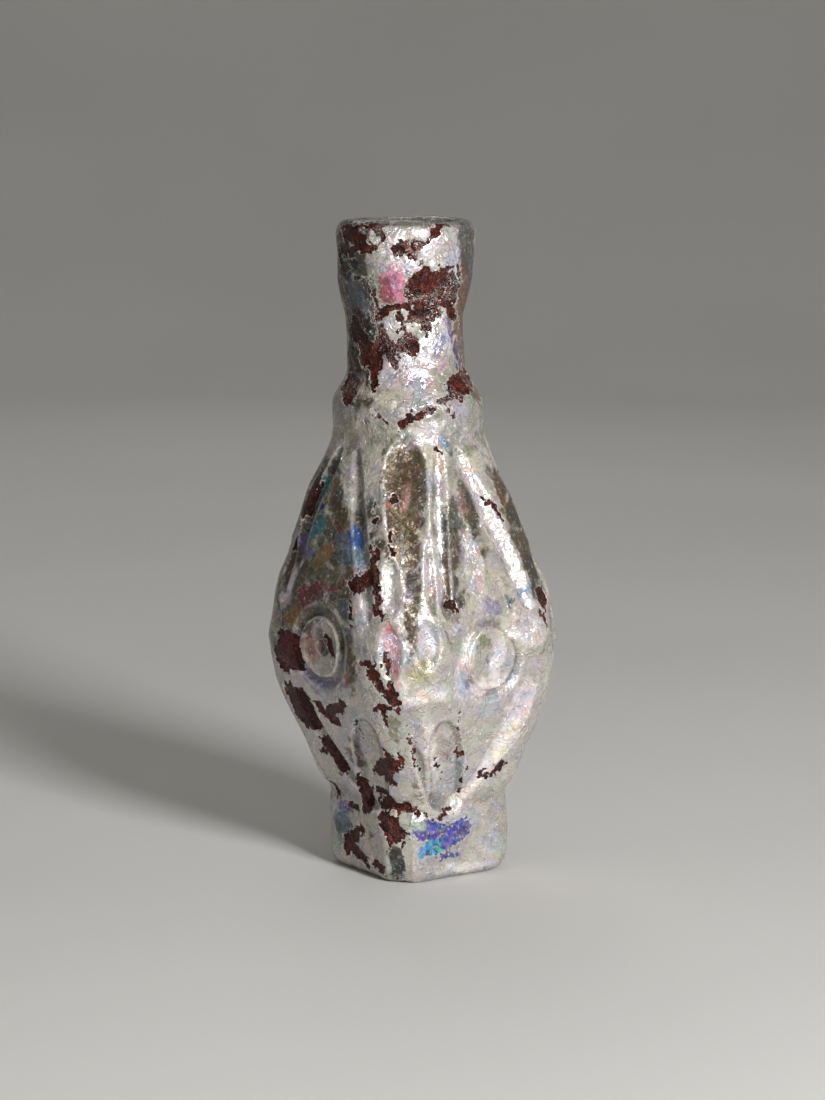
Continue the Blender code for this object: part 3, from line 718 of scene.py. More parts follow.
class SeenSide:
    """The side of the bottle that the photo shows, and where each of its pixels lies on it."""

    def __init__(self, form, stage):
        turns = np.arange(-NET_SPAN, NET_SPAN, NET_TURN)
        rises = np.arange(0.0, form.rim, NET_RISE)
        self.turn, self.height = (net.ravel() for net in np.meshgrid(turns, rises))
        self.radius = form.outer_radius(FRONT + self.turn, self.height)
        places = form.places(FRONT + self.turn, self.height, self.radius)
        back = np.array(direction(stage.view_angle, stage.view_rise))
        right = np.cross((0.0, 0.0, 1.0), back)
        right /= np.linalg.norm(right)
        offset = places - (0.0, 0.0, stage.view_height) - stage.view_distance * back
        scale = stage.lens / SENSOR * FRAME_HEIGHT / -(offset @ back)
        self.across = 0.5 * FRAME_WIDTH + scale * (offset @ right)
        self.down = 0.5 * FRAME_HEIGHT - scale * (offset @ np.cross(back, right))

    def place(self, across, down):
        """Degrees to the right of the front, height and radius in millimetres at a pixel."""
        nearest = np.argmin((self.across - across) ** 2 + (self.down - down) ** 2)
        return self.turn[nearest], self.height[nearest] / MM, self.radius[nearest] / MM

    def patch(self, dab):
        """The patch of the bottle's surface that a dab covers, in degrees and millimetres."""
        start, end = self.place(*dab[0:2]), self.place(*dab[2:4])
        turn, height, radius = (0.5 * (first + last) for first, last in zip(start, end))
        along = math.radians(end[0] - start[0]) * radius
        rise = end[1] - start[1]
        slope = math.atan2(rise, along)
        half_width = DAB_GROWTH * PIXEL * dab[4]
        spread = 1.0 / max(math.cos(math.radians(turn)), GRAZING)
        tall = half_width * (1.0 + abs(math.sin(slope)) * (spread - 1.0))
        wide = 0.5 * math.hypot(along, rise) + half_width
        return Patch(turn, height, wide, tall, math.degrees(slope))

    def all_round(self, dabs, keep):
        """The dabs' patches, and some again, turned onto the side that the photo can't show."""
        dice = random.Random(bpy.context.scene.bottle_crust.seed)
        seen = [self.patch(dab) for dab in dabs]
        hidden = []
        for patch in seen:
            if dice.random() < keep:
                turn = patch.angle + 180.0 + dice.uniform(-HIDDEN_TURN, HIDDEN_TURN)
                height = patch.height + dice.uniform(-HIDDEN_RISE, HIDDEN_RISE)
                hidden.append(patch._replace(angle=turn, height=height))
        return seen + hidden


def patch_cover(patches, angle, height, radius):
    """Millimetres inside the nearest patch, or outside it where negative."""
    best = np.full(len(angle), OUT_OF_REACH)
    for patch in patches:
        along = np.radians(turned(angle - FRONT - patch.angle)) * radius / MM
        up = height / MM - patch.height
        tilt = math.radians(patch.tilt)
        across = (along * math.cos(tilt) + up * math.sin(tilt)) / patch.wide
        above = (up * math.cos(tilt) - along * math.sin(tilt)) / patch.tall
        out = (np.abs(across) ** BLOCKINESS + np.abs(above) ** BLOCKINESS) ** (1.0 / BLOCKINESS)
        best = np.maximum(best, (1.0 - out) * min(patch.wide, patch.tall))
    return best


def torn_places(places, pull):
    """The vertices' places pushed about, and pulled into chips, so that patches tear."""
    settings = bpy.context.scene.bottle_crust
    chip = settings.tear_size
    noise.seed_set(settings.seed)
    torn = np.empty_like(places)
    for index, place in enumerate(places):
        spot = Vector(place)
        wander = noise.noise_vector(spot / (WANDER_SIZE * chip))
        wander += 0.5 * noise.noise_vector(spot / chip)
        centre = noise.voronoi(spot / chip)[1][0] * chip
        torn[index] = spot.lerp(centre, pull) + wander * settings.tear_reach
    return torn


def slow_noise(places, size):
    """Slow unevenness between 0 and 1 over the vertices' places."""
    values = [noise.fractal(Vector(place) / size, 1.0, 2.0, 3) for place in places]
    return np.clip(0.5 + 0.5 * np.array(values), 0.0, 1.0)


# Mesh


def only_select(piece):
    """Make a piece the one selected and active object."""
    if bpy.context.mode != "OBJECT":
        bpy.ops.object.mode_set(mode="OBJECT")
    bpy.ops.object.select_all(action="DESELECT")
    piece.select_set(True)
    bpy.context.view_layer.objects.active = piece


def copy_of(node, name):
    """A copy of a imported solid, with its loose triangles merged."""
    piece = bpy.data.objects.new(name, node.data.copy())
    piece.data.materials.clear()
    bpy.context.collection.objects.link(piece)
    only_select(piece)
    bpy.ops.object.mode_set(mode="EDIT")
    bpy.ops.mesh.select_all(action="SELECT")
    bpy.ops.mesh.remove_doubles(threshold=NEAR_NOTHING)
    bpy.ops.object.mode_set(mode="OBJECT")
    return piece


def fine_mesh(piece, step):
    """Even out a piece's mesh into small faces."""
    modifier = piece.modifiers.new("Even Faces", "REMESH")
    modifier.mode = "VOXEL"
    modifier.voxel_size = step
    modifier.use_smooth_shade = True
    bpy.ops.object.modifier_apply(modifier=modifier.name)


def vertices_of(piece, kind="co"):
    """The places or normals of a piece's vertices as an array of x, y, z."""
    values = np.empty(3 * len(piece.data.vertices))
    piece.data.vertices.foreach_get(kind, values)
    return values.reshape(-1, 3)


def move_vertices(piece, places):
    """Bring a piece's vertices to new places."""
    piece.data.vertices.foreach_set("co", places.ravel())
    piece.data.update()


def round_axis(form, places):
    """Angle, height and radius of the vertices about the bottle's leaning axis."""
    middle = form.middle(places[:, 2])
    x, y = places[:, 0] - middle[0], places[:, 1] - middle[1]
    return np.degrees(np.arctan2(y, x)), places[:, 2], np.hypot(x, y)


def thin_out_inside(piece, inside, keep):
    """Merge the small faces of the inner wall into larger ones."""
    only_select(piece)
    polygons = piece.data.polygons
    corners = np.empty(len(piece.data.loops), dtype=np.int32)
    piece.data.loops.foreach_get("vertex_index", corners)
    starts = np.empty(len(polygons), dtype=np.int32)
    polygons.foreach_get("loop_start", starts)
    piece.data.vertices.foreach_set("select", inside)
    piece.data.edges.foreach_set("select", np.zeros(len(piece.data.edges), dtype=bool))
    polygons.foreach_set("select", np.minimum.reduceat(inside[corners], starts))
    bpy.ops.object.mode_set(mode="EDIT")
    bpy.ops.mesh.select_mode(type="FACE")
    bpy.ops.mesh.decimate(ratio=keep)
    bpy.ops.object.mode_set(mode="OBJECT")


def grind(piece, form):
    """Bring the outside exactly onto the ground form, with its crisp cuts."""
    places = vertices_of(piece)
    angle, height, radius = round_axis(form, places)
    outer = form.outer_radius(angle, height)
    near = np.abs(radius - outer) < GRIND_REACH
    near &= (height > FOOT_EDGE) & (height < form.rim - LIP_ROUND)
    places[near] = form.places(angle, height, outer)[near]
    move_vertices(piece, places)


def on_outside(form, places):
    """Which vertices belong to the outer wall, the lip and the underside."""
    angle, height, radius = round_axis(form, places)
    wall = form.outer_radius(angle, np.maximum(height, 0.0)) - INNER_START
    return (radius > wall) | (height < FOOT_EDGE)


def add_attribute(piece, name, values, kind="FLOAT", field="value"):
    """Keep a number or a colour for each vertex, for the material to read."""
    layer = piece.data.attributes.new(name, kind, "POINT")
    layer.data.foreach_set(field, values.astype(np.float32).ravel())


def film_colours(seen, spots):
    """Each vertex's film colour with its strength, and how far inside a film it lies."""
    colours = np.zeros((len(spots[0]), 4))
    inside = np.full(len(spots[0]), OUT_OF_REACH)
    for film_tone, strength, dabs in FILMS:
        cover = patch_cover(seen.all_round(dabs, FILMS_KEPT), *spots)
        on_top = (cover > 0.0) | (cover > inside)
        colours[on_top] = (*film_tone, strength)
        inside = np.maximum(inside, cover)
    return colours, inside


def ridges(form, angle, height):
    """1 along the sharp arrises between the wheel's cuts, and -1 along their hollows."""
    step = RIDGE_WIDTH
    radius = form.outer_radius(angle, height)
    turn = np.degrees(step / np.maximum(radius, step))
    beside = form.outer_radius(angle - turn, height) + form.outer_radius(angle + turn, height)
    above = form.outer_radius(angle, height + step) + form.outer_radius(angle, height - step)
    return np.clip((4.0 * radius - beside - above) / RIDGE_RISE, -1.0, 1.0)


def weather(piece, form):
    """Flake the crust off in patches, make it uneven, and mark what shows where."""
    settings = bpy.context.scene.bottle_crust
    places, normals = vertices_of(piece), vertices_of(piece, "normal")
    outside = on_outside(form, places)
    seen = SeenSide(form, bpy.context.scene.bottle_stage)
    spots = round_axis(form, torn_places(places, CHIP_PULL))
    patches = (BARE_DABS, BARE_KEPT), (SILVER_DABS, SILVER_KEPT), (THIN_DABS, THIN_KEPT)
    covers = (patch_cover(seen.all_round(dabs, kept), *spots) for dabs, kept in patches)
    flaked, mirror, thin = covers
    flaked = np.where(outside, flaked, -1.0)
    # The mirror-bright mark: partly a real silvery film, partly painted highlights
    mirror = smooth_step(mirror, *MIRROR_FADE) * outside
    # The thin mark darkens the crust: partly thin crust, partly painted shade on the left side
    thin = smooth_step(thin, *THIN_FADE)
    films, layers = film_colours(seen, round_axis(form, torn_places(places, FILM_PULL)))
    layers = np.where(outside, layers, -1.0)

    lumps = slow_noise(places, LUMP_SIZE * settings.tear_size)
    pits = smooth_step(slow_noise(places, PIT_SIZE * settings.tear_size), *PIT_FADE)
    depth = settings.lump_depth * lumps + settings.pit_depth * pits
    depth += settings.flake_depth * smooth_step(flaked, *FLAKE_FADE)
    depth *= outside * smooth_step(places[:, 2], 0.0, FOOT_EDGE)
    places -= normals * depth[:, None]
    move_vertices(piece, places)
    ridge = ridges(form, *round_axis(form, places)[:2]) * outside
    for name, values in zip(MARKS, (flaked, mirror, thin, layers, ridge)):
        add_attribute(piece, name, values)
    add_attribute(piece, "film", films, "FLOAT_COLOR", "color")


# Materials

# Soft clouds of a second tone, between a low and a high value of the noise
Cloud = namedtuple("Cloud", "size low high detail", defaults=[4.0])
AMBER_CLOUD = Cloud(0.0030, 0.40, 0.65)
CREAM_CLOUD = Cloud(0.0055, 0.42, 0.62)
LILAC_CLOUD = Cloud(0.0040, 0.55, 0.72)
WORN_CLOUD = Cloud(0.0022, 0.40, 0.60)
BLUSH_CLOUD = Cloud(0.0016, 0.50, 0.67)
REDBROWN_CLOUD = Cloud(0.0014, 0.35, 0.60, 5.0)
FILM_CLOUD = Cloud(0.0009, 0.34, 0.56, 7.0)
WISP_CLOUD = Cloud(0.0013, 0.36, 0.52, 7.0)
WORM_CLOUD = Cloud(0.0040, 0.44, 0.52, 2.0)
GLOSS_CLOUD = Cloud(0.0020, 0.30, 0.70, 2.0)
PAPER_CLOUD = Cloud(0.12, 0.35, 0.65, 1.0)

# Fine unevenness
Grain = namedtuple("Grain", "size detail distortion", defaults=[3.0, 0.0])
RAGGED_GRAIN = Grain(0.0006, 6.0)
LAYER_GRAIN = Grain(0.0036, 2.0, 1.2)
CHIP_GRAIN = Grain(0.0013, 6.0, 0.8)
VEIL_GRAIN = Grain(0.0019, 6.0, 0.3)
TINT_GRAIN = Grain(0.0050, 3.0, 1.5)
PLATE_GRAIN = Grain(0.0009, 6.0, 0.8)
WORM_GRAIN = Grain(0.0005, 2.0, 1.0)
GRIT_GRAIN = Grain(0.00040)
CRINKLE_GRAIN = Grain(0.0016, 3.0, 0.4)
FILM_CELL = 0.00055
CRACK_CELL = 0.0012
GLITTER_CELL = 0.00026
FACET_CELL = 0.0009

# Heights, in metres, at which a finish starts and is full
NECK_FADE = (0.058, 0.064)
LOW_FADE = (0.036, 0.022)
FOOT_FADE = (0.0115, 0.0095)
LIP_FADE = (0.0836, 0.0845)

# Millimetres inside a patch, or outside it, at which a finish starts and is full
BARE_FADE = (-0.03, 0.03)
TORN_FADE = (-0.20, -0.02)
SOFT_FILM_FADE = (-0.18, 0.20)
SHARP_FILM_FADE = (-0.05, 0.05)
FILM_RIM_FADES = ((-0.25, -0.06), (0.02, -0.06))

# Values of a noise or a mark at which a finish starts and is full
GRAINY_FADE = (0.90, 0.94)
TERRACE_FADES = ((0.475, 0.490), (0.570, 0.585))
TERRACE_RIM_FADES = ((0.455, 0.475), (0.490, 0.478))
CHIP_FADE = (0.535, 0.575)
VEIL_FADE = (0.42, 0.66)
PLATE_FADE = (0.54, 0.60)
CRACK_FADE = (0.06, 0.01)
WORM_FADE = (0.035, 0.012)
GLITTER_FADE = (0.90, 0.96)
HOLLOW_FADE = (-0.1, -0.8)
ARRIS_FADE = (0.1, 0.9)

# Strengths of a finish where a mark is 0, and where it is 1
FILM_BY_CLOUD = (0.70, 1.0)
TERRACE_RIM_BY_THIN = (0.25, 0.05)
CHIPS_BY_THIN = (0.0, -0.16)
CHIPS_BY_LOW = (0.40, 0.20)
VEIL_BY_THIN = (0.20, -0.10)
WORN_BY_CLOUD = (0.10, 0.45)
FILM_VALUES = (0.60, 1.10)
GRAINY_VALUES = (0.25, 1.5)
FILM_HUES = (0.485, 0.515)
GRAINY_HUES = (0.46, 0.53)
CRACKS_BY_NECK = (0.05, 0.8)
BRIGHT_BY_CLOUD = (0.45, 1.0)
GLITTER_BY_THIN = (0.7, 0.25)
WORMS_BY_NECK = (0.10, 0.75)
WORMS_BY_THIN = (1.0, 0.2)
METAL_BY_LOW = (0.75, 0.30)
SATIN_BY_CHIPS = (0.05, 0.28)
SATIN_BY_THIN = (1.0, 0.2)
ROUGH_BY_CLOUD = (0.24, 0.42)
ROUGH_BY_LOW = (1.0, 0.85)
RELIEF_BY_LOW = (1.0, 0.42)
COAT_BY_BARE = (0.45, 0.06)

# Shares of a finish
TORN_RAGGEDNESS = 1.1
FILM_RAGGEDNESS = 1.8
TORN_SHARE = 0.65
FILM_RIM_SHARE = 0.20
LOW_ON_FOOT = -0.4
PALE_ON_LOW = 0.65
VEIL_ON_LOW = 0.13
WORN_ON_LOW = 0.25
HOLLOW_SHARE = 0.5
LIP_SHARE = 0.7
FILM_ON_SILVER = 0.6
PLATE_SHARE = 0.60
MAROON_ON_THIN = 0.55
RAINBOW_SHARE = 0.8
GLITTER_SHARE = 0.6
GLITTER_ON_BARE = 0.06
FILM_METAL = 0.35
SATIN_ON_LOW = 0.20
GLITTER_METAL = 0.85
GLINT_METAL = 0.6
SMOOTH = 0.28
GRIT_RELIEF = 0.5
CRINKLE_RELIEF = 0.9
CHIP_RELIEF = 0.35
FACET_RELIEF = 1.4
TERRACE_RELIEF = 0.5
BARE_RELIEF = -0.8
PAPER_CLOUD_SHADE = 0.97

# Tints of the rainbow film: (place, colour)
TINTS = (
    (0.32, (0.74, 0.88, 1.0)), (0.42, (0.92, 0.86, 1.0)), (0.50, (1.0, 0.93, 0.92)),
    (0.58, (1.0, 0.97, 0.86)), (0.68, (0.88, 1.0, 0.96)),
)


class Nodes:
    """Adds nodes to a tree and links them."""

    def __init__(self, tree):
        self.tree = tree

    def add(self, kind, inputs, **settings):
        node = self.tree.nodes.new(kind)
        for name, value in settings.items():
            setattr(node, name, value)
        for name, value in inputs.items():
            if isinstance(value, bpy.types.NodeSocket):
                self.tree.links.new(value, node.inputs[name])
            else:
                node.inputs[name].default_value = value
        return node

    def math(self, kind, first, second=0.0):
        return self.add("ShaderNodeMath", {0: first, 1: second}, operation=kind).outputs[0]

    def plus(self, first, second):
        return self.math("ADD", first, second)

    def minus(self, first, second):
        return self.math("SUBTRACT", first, second)

    def times(self, first, second):
        return self.math("MULTIPLY", first, second)

    def highest(self, first, second):
        return self.math("MAXIMUM", first, second)

    def vector(self, kind, first, second):
        return self.add("ShaderNodeVectorMath", {0: first, 1: second}, operation=kind).outputs

    def blend(self, share, below, above, kind="MIX"):
        sockets = {0: share, 6: below, 7: above}
        node = self.add("ShaderNodeMix", sockets, data_type="RGBA", blend_type=kind)
        return node.outputs[2]

    def between(self, share, low, high):
        sockets = {0: share, 2: low, 3: high}
        return self.add("ShaderNodeMix", sockets, data_type="FLOAT").outputs[0]

    def step(self, value, start, full):
        sockets = {"Value": value, "From Min": start, "From Max": full}
        node = self.add("ShaderNodeMapRange", sockets, interpolation_type="SMOOTHSTEP")
        return node.outputs["Result"]

    def band(self, value, rise, fall):
        return self.times(self.step(value, *rise), self.step(value, *fall))

    def noise(self, where, grain):
        sockets = {"Vector": where, "Scale": 1.0 / grain.size, "Detail": grain.detail}
        sockets["Distortion"] = grain.distortion
        return self.add("ShaderNodeTexNoise", sockets).outputs["Fac"]

    def cells(self, where, size, feature="F1"):
        sockets = {"Vector": where, "Scale": 1.0 / size}
        return self.add("ShaderNodeTexVoronoi", sockets, feature=feature)

    def chances(self, cells):
        """Three numbers between 0 and 1 that differ from cell to cell."""
        return self.add("ShaderNodeSeparateColor", {0: cells.outputs["Color"]}).outputs

    def facets(self, where, size):
        """Height of small flat flakes that each lean their own way."""
        cells = self.cells(where, size)
        inside = self.vector("SUBTRACT", where, cells.outputs["Position"])[0]
        lean = self.vector("SUBTRACT", cells.outputs["Color"], (0.5, 0.5, 0.5))[0]
        return self.times(self.vector("DOT_PRODUCT", inside, lean)["Value"], 1.0 / size)

    def mottle(self, where, cloud):
        """The share that a placed mottle group puts out."""
        node = self.add("ShaderNodeGroup", {}, node_tree=mottle_group())
        self.tree.links.new(where, node.inputs["Vector"])
        for name, value in cloud._asdict().items():
            node.inputs[name.title()].default_value = value
        return node.outputs["Share"]


def mottle_group():
    """Soft clouds between 0 and 1: the share of a second tone that shows through."""
    name = "soft_mottle"
    if name in bpy.data.node_groups:
        return bpy.data.node_groups[name]
    tree = bpy.data.node_groups.new(name, "ShaderNodeTree")
    tree.interface.new_socket("Vector", in_out="INPUT", socket_type="NodeSocketVector")
    for field, value in AMBER_CLOUD._asdict().items():
        socket = tree.interface.new_socket(
            field.title(), in_out="INPUT", socket_type="NodeSocketFloat"
        )
        socket.default_value = value
    tree.interface.new_socket("Share", in_out="OUTPUT", socket_type="NodeSocketFloat")
    nodes = Nodes(tree)
    source = nodes.add("NodeGroupInput", {}).outputs
    scale = nodes.math("DIVIDE", 1.0, source["Size"])
    sockets = {"Vector": source["Vector"], "Scale": scale, "Detail": source["Detail"]}
    cloud = nodes.add("ShaderNodeTexNoise", sockets).outputs["Fac"]
    share = nodes.step(cloud, source["Low"], source["High"])
    nodes.add("NodeGroupOutput", {"Share": share})
    return tree


def tone(value):
    """A property's colour with full opacity."""
    return (*value, 1.0)


def empty_material(name):
    """A new material with no nodes yet, and the means to add them."""
    material = bpy.data.materials.new(name)
    material.use_nodes = True
    material.node_tree.nodes.clear()
    return material, Nodes(material.node_tree)


def surface_marks(nodes):
    """What weather() has written on the mesh, with ragged edges, and the place itself."""
    where = nodes.add("ShaderNodeTexCoord", {}).outputs["Object"]
    marks = {"where": where}
    for name in MARKS:
        marks[name] = nodes.add("ShaderNodeAttribute", {}, attribute_name=name).outputs["Fac"]
    film = nodes.add("ShaderNodeAttribute", {}, attribute_name="film").outputs
    ragged = nodes.minus(nodes.noise(where, RAGGED_GRAIN), 0.5)
    flaked = nodes.plus(marks["flaked"], nodes.times(ragged, TORN_RAGGEDNESS))
    layers = nodes.plus(marks["layers"], nodes.times(ragged, FILM_RAGGEDNESS))
    up = nodes.add("ShaderNodeSeparateXYZ", {0: where}).outputs["Z"]
    marks["bare"] = nodes.step(flaked, *BARE_FADE)
    # The torn mark: a paler rim round each flaked patch, partly the crust's fresh edge, partly
    # painted highlight
    marks["torn"] = nodes.times(nodes.step(flaked, *TORN_FADE), TORN_SHARE)
    marks["film"] = film["Color"]
    marks["grainy"] = nodes.step(film["Alpha"], *GRAINY_FADE)
    cover = nodes.between(nodes.mottle(where, FILM_CLOUD), *FILM_BY_CLOUD)
    soft, sharp = (nodes.step(layers, *fade) for fade in (SOFT_FILM_FADE, SHARP_FILM_FADE))
    cover = nodes.times(cover, nodes.between(marks["grainy"], soft, sharp))
    marks["stain"] = nodes.times(cover, film["Alpha"])
    film_rim = nodes.times(nodes.band(layers, *FILM_RIM_FADES), FILM_RIM_SHARE)
    marks["on_neck"] = nodes.step(up, *NECK_FADE)
    on_foot = nodes.times(nodes.step(up, *FOOT_FADE), LOW_ON_FOOT)
    marks["low"] = nodes.plus(nodes.step(up, *LOW_FADE), on_foot)
    marks["lip"] = nodes.step(up, *LIP_FADE)
    layering = nodes.noise(where, LAYER_GRAIN)
    marks["terrace"] = nodes.plus(*(nodes.step(layering, *fade) for fade in TERRACE_FADES))
    # Fainter pale terrace rims where the thin mark lies: partly thin crust, partly painted shade
    strength = nodes.between(marks["thin"], *TERRACE_RIM_BY_THIN)
    terrace_rim = nodes.times(nodes.band(layering, *TERRACE_RIM_FADES), strength)
    marks["rims"] = nodes.highest(film_rim, terrace_rim)
    chips = nodes.noise(where, CHIP_GRAIN)
    # Fewer pale chips where the thin mark lies: partly thin crust, partly painted shade
    chips = nodes.plus(chips, nodes.between(marks["thin"], *CHIPS_BY_THIN))
    marks["chips"] = nodes.step(chips, *CHIP_FADE)
    return marks


def crust_colour(nodes, marks, settings):
    """Dark glass, the milky crust and paler chips; hollows darker and arrises paler, partly as
    painted shade and highlight.
    """
    where, low, torn_edge = marks["where"], marks["low"], tone(settings.torn_edge)
    dark, amber = tone(settings.shadowed), tone(settings.amber)
    glass = nodes.blend(nodes.mottle(where, AMBER_CLOUD), dark, amber)
    cream = nodes.mottle(where, CREAM_CLOUD)
    milk = nodes.blend(cream, tone(settings.crust), tone(settings.cream))
    milk = nodes.blend(nodes.mottle(where, LILAC_CLOUD), milk, tone(settings.lilac))
    milk = nodes.blend(nodes.times(low, PALE_ON_LOW), milk, tone(settings.pale))
    veil = nodes.noise(where, VEIL_GRAIN)
    # Less milky veil where the thin mark lies, so more dark glass: partly thin crust, partly
    # painted shade
    veil = nodes.plus(veil, nodes.between(marks["thin"], *VEIL_BY_THIN))
    veil = nodes.plus(veil, nodes.times(low, VEIL_ON_LOW))
    crust = nodes.blend(nodes.step(veil, *VEIL_FADE), glass, milk)
    chips = nodes.times(marks["chips"], nodes.between(low, *CHIPS_BY_LOW))
    crust = nodes.blend(chips, crust, torn_edge)
    # Painted shade in the cuts' hollows, partly the dark glass that shows through there
    hollow = nodes.times(nodes.step(marks["ridge"], *HOLLOW_FADE), HOLLOW_SHARE)
    crust = nodes.blend(hollow, crust, dark)
    crust = nodes.blend(marks["stain"], crust, film_colour(nodes, marks))
    # Paler arrises along the cuts: partly paler crust, partly painted highlight
    worn = nodes.between(nodes.mottle(where, WORN_CLOUD), *WORN_BY_CLOUD)
    worn = nodes.plus(worn, nodes.times(low, WORN_ON_LOW))
    arris = nodes.times(nodes.step(marks["ridge"], *ARRIS_FADE), worn)
    crust = nodes.blend(arris, crust, torn_edge)
    crust = nodes.blend(marks["rims"], crust, torn_edge)
    return nodes.blend(nodes.times(marks["lip"], LIP_SHARE), crust, dark)


def film_colour(nodes, marks):
    """The films' colours, broken into grains where a film is strong."""
    chance = nodes.chances(nodes.cells(marks["where"], FILM_CELL))
    value, grainy_value = (nodes.between(chance[0], *ends) for ends in (FILM_VALUES, GRAINY_VALUES))
    hue, grainy_hue = (nodes.between(chance[1], *ends) for ends in (FILM_HUES, GRAINY_HUES))
    sockets = {
        "Color": marks["film"],
        "Hue": nodes.between(marks["grainy"], hue, grainy_hue),
        "Value": nodes.between(marks["grainy"], value, grainy_value),
    }
    return nodes.add("ShaderNodeHueSaturation", sockets).outputs["Color"]


def rainbow(nodes, where):
    """The pale tints that thin films of crust throw: blue, lilac, pink, yellow and green."""
    node = nodes.add("ShaderNodeValToRGB", {"Fac": nodes.noise(where, TINT_GRAIN)})
    stops = node.color_ramp.elements
    while len(stops) < len(TINTS):
        stops.new(1.0)
    for stop, (place, tint) in zip(stops, TINTS):
        stop.position = place
        stop.color = tone(tint)
    return node.outputs["Color"]


def silver_colour(nodes, marks, settings):
    """Mirror-bright film, blushing pink in places, with cracks and the films' tints; its near-white
    colour partly paints highlights into the base colour.
    """
    where = marks["where"]
    blush = nodes.mottle(where, BLUSH_CLOUD)
    silver = nodes.blend(blush, tone(settings.silver), tone(settings.blush))
    cracks = nodes.cells(where, CRACK_CELL, "DISTANCE_TO_EDGE").outputs["Distance"]
    strength = nodes.between(marks["on_neck"], *CRACKS_BY_NECK)
    cracks = nodes.times(nodes.step(cracks, *CRACK_FADE), strength)
    silver = nodes.blend(cracks, silver, tone(settings.lilac))
    return nodes.blend(nodes.times(marks["stain"], FILM_ON_SILVER), silver, marks["film"])


def bared_colour(nodes, marks, glint, settings):
    """The layer under the crust: maroon and red-brown, with rusty plates and pale glints."""
    where, maroon = marks["where"], tone(settings.maroon)
    layer = nodes.blend(nodes.mottle(where, REDBROWN_CLOUD), maroon, tone(settings.redbrown))
    plates = nodes.step(nodes.noise(where, PLATE_GRAIN), *PLATE_FADE)
    layer = nodes.blend(nodes.times(plates, PLATE_SHARE), layer, tone(settings.rust))
    # Bared layer darker where the thin mark lies: partly its own dark tone, partly painted shade
    layer = nodes.blend(nodes.times(marks["thin"], MAROON_ON_THIN), layer, maroon)
    return nodes.blend(glint, layer, tone(settings.torn_edge))


def worm_tracks(nodes, marks):
    """Fine winding glints on the bared layer, most of them on the neck."""
    where = marks["where"]
    worms = nodes.math("ABSOLUTE", nodes.minus(nodes.noise(where, WORM_GRAIN), 0.5))
    strength = nodes.mottle(where, WORM_CLOUD)
    strength = nodes.times(strength, nodes.between(marks["on_neck"], *WORMS_BY_NECK))
    # Fewer pale glints where the thin mark lies, partly painted shade
    strength = nodes.times(strength, nodes.between(marks["thin"], *WORMS_BY_THIN))
    return nodes.times(nodes.step(worms, *WORM_FADE), strength)


def metal_shine(nodes, marks, bright, glitter):
    """How metallic the crust looks: its bright film, satin chips, films and glitter."""
    metallic = nodes.times(bright, nodes.between(marks["low"], *METAL_BY_LOW))
    metallic = nodes.highest(metallic, nodes.times(marks["stain"], FILM_METAL))
    satin = nodes.between(marks["chips"], *SATIN_BY_CHIPS)
    satin = nodes.plus(satin, nodes.times(marks["low"], SATIN_ON_LOW))
    # Less satin sheen where the thin mark lies, partly painted shade
    satin = nodes.times(satin, nodes.between(marks["thin"], *SATIN_BY_THIN))
    metallic = nodes.highest(metallic, satin)
    return nodes.highest(metallic, nodes.times(glitter, GLITTER_METAL))


def crust_relief(nodes, marks, grains):
    """Height of the fine relief: grit, crinkles, chips, flakes and terraces of the crust."""
    where = marks["where"]
    grit = nodes.times(nodes.noise(where, GRIT_GRAIN), GRIT_RELIEF)
    crinkle = nodes.times(nodes.noise(where, CRINKLE_GRAIN), CRINKLE_RELIEF)
    relief = nodes.plus(nodes.plus(grit, crinkle), nodes.times(marks["chips"], CHIP_RELIEF))
    relief = nodes.plus(relief, nodes.times(nodes.facets(where, FACET_CELL), FACET_RELIEF))
    relief = nodes.times(relief, nodes.between(marks["low"], *RELIEF_BY_LOW))
    relief = nodes.plus(relief, nodes.times(marks["terrace"], TERRACE_RELIEF))
    sunk = nodes.plus(nodes.times(grains.outputs["Distance"], BARE_RELIEF), BARE_RELIEF)
    return nodes.plus(relief, nodes.times(marks["bare"], sunk))


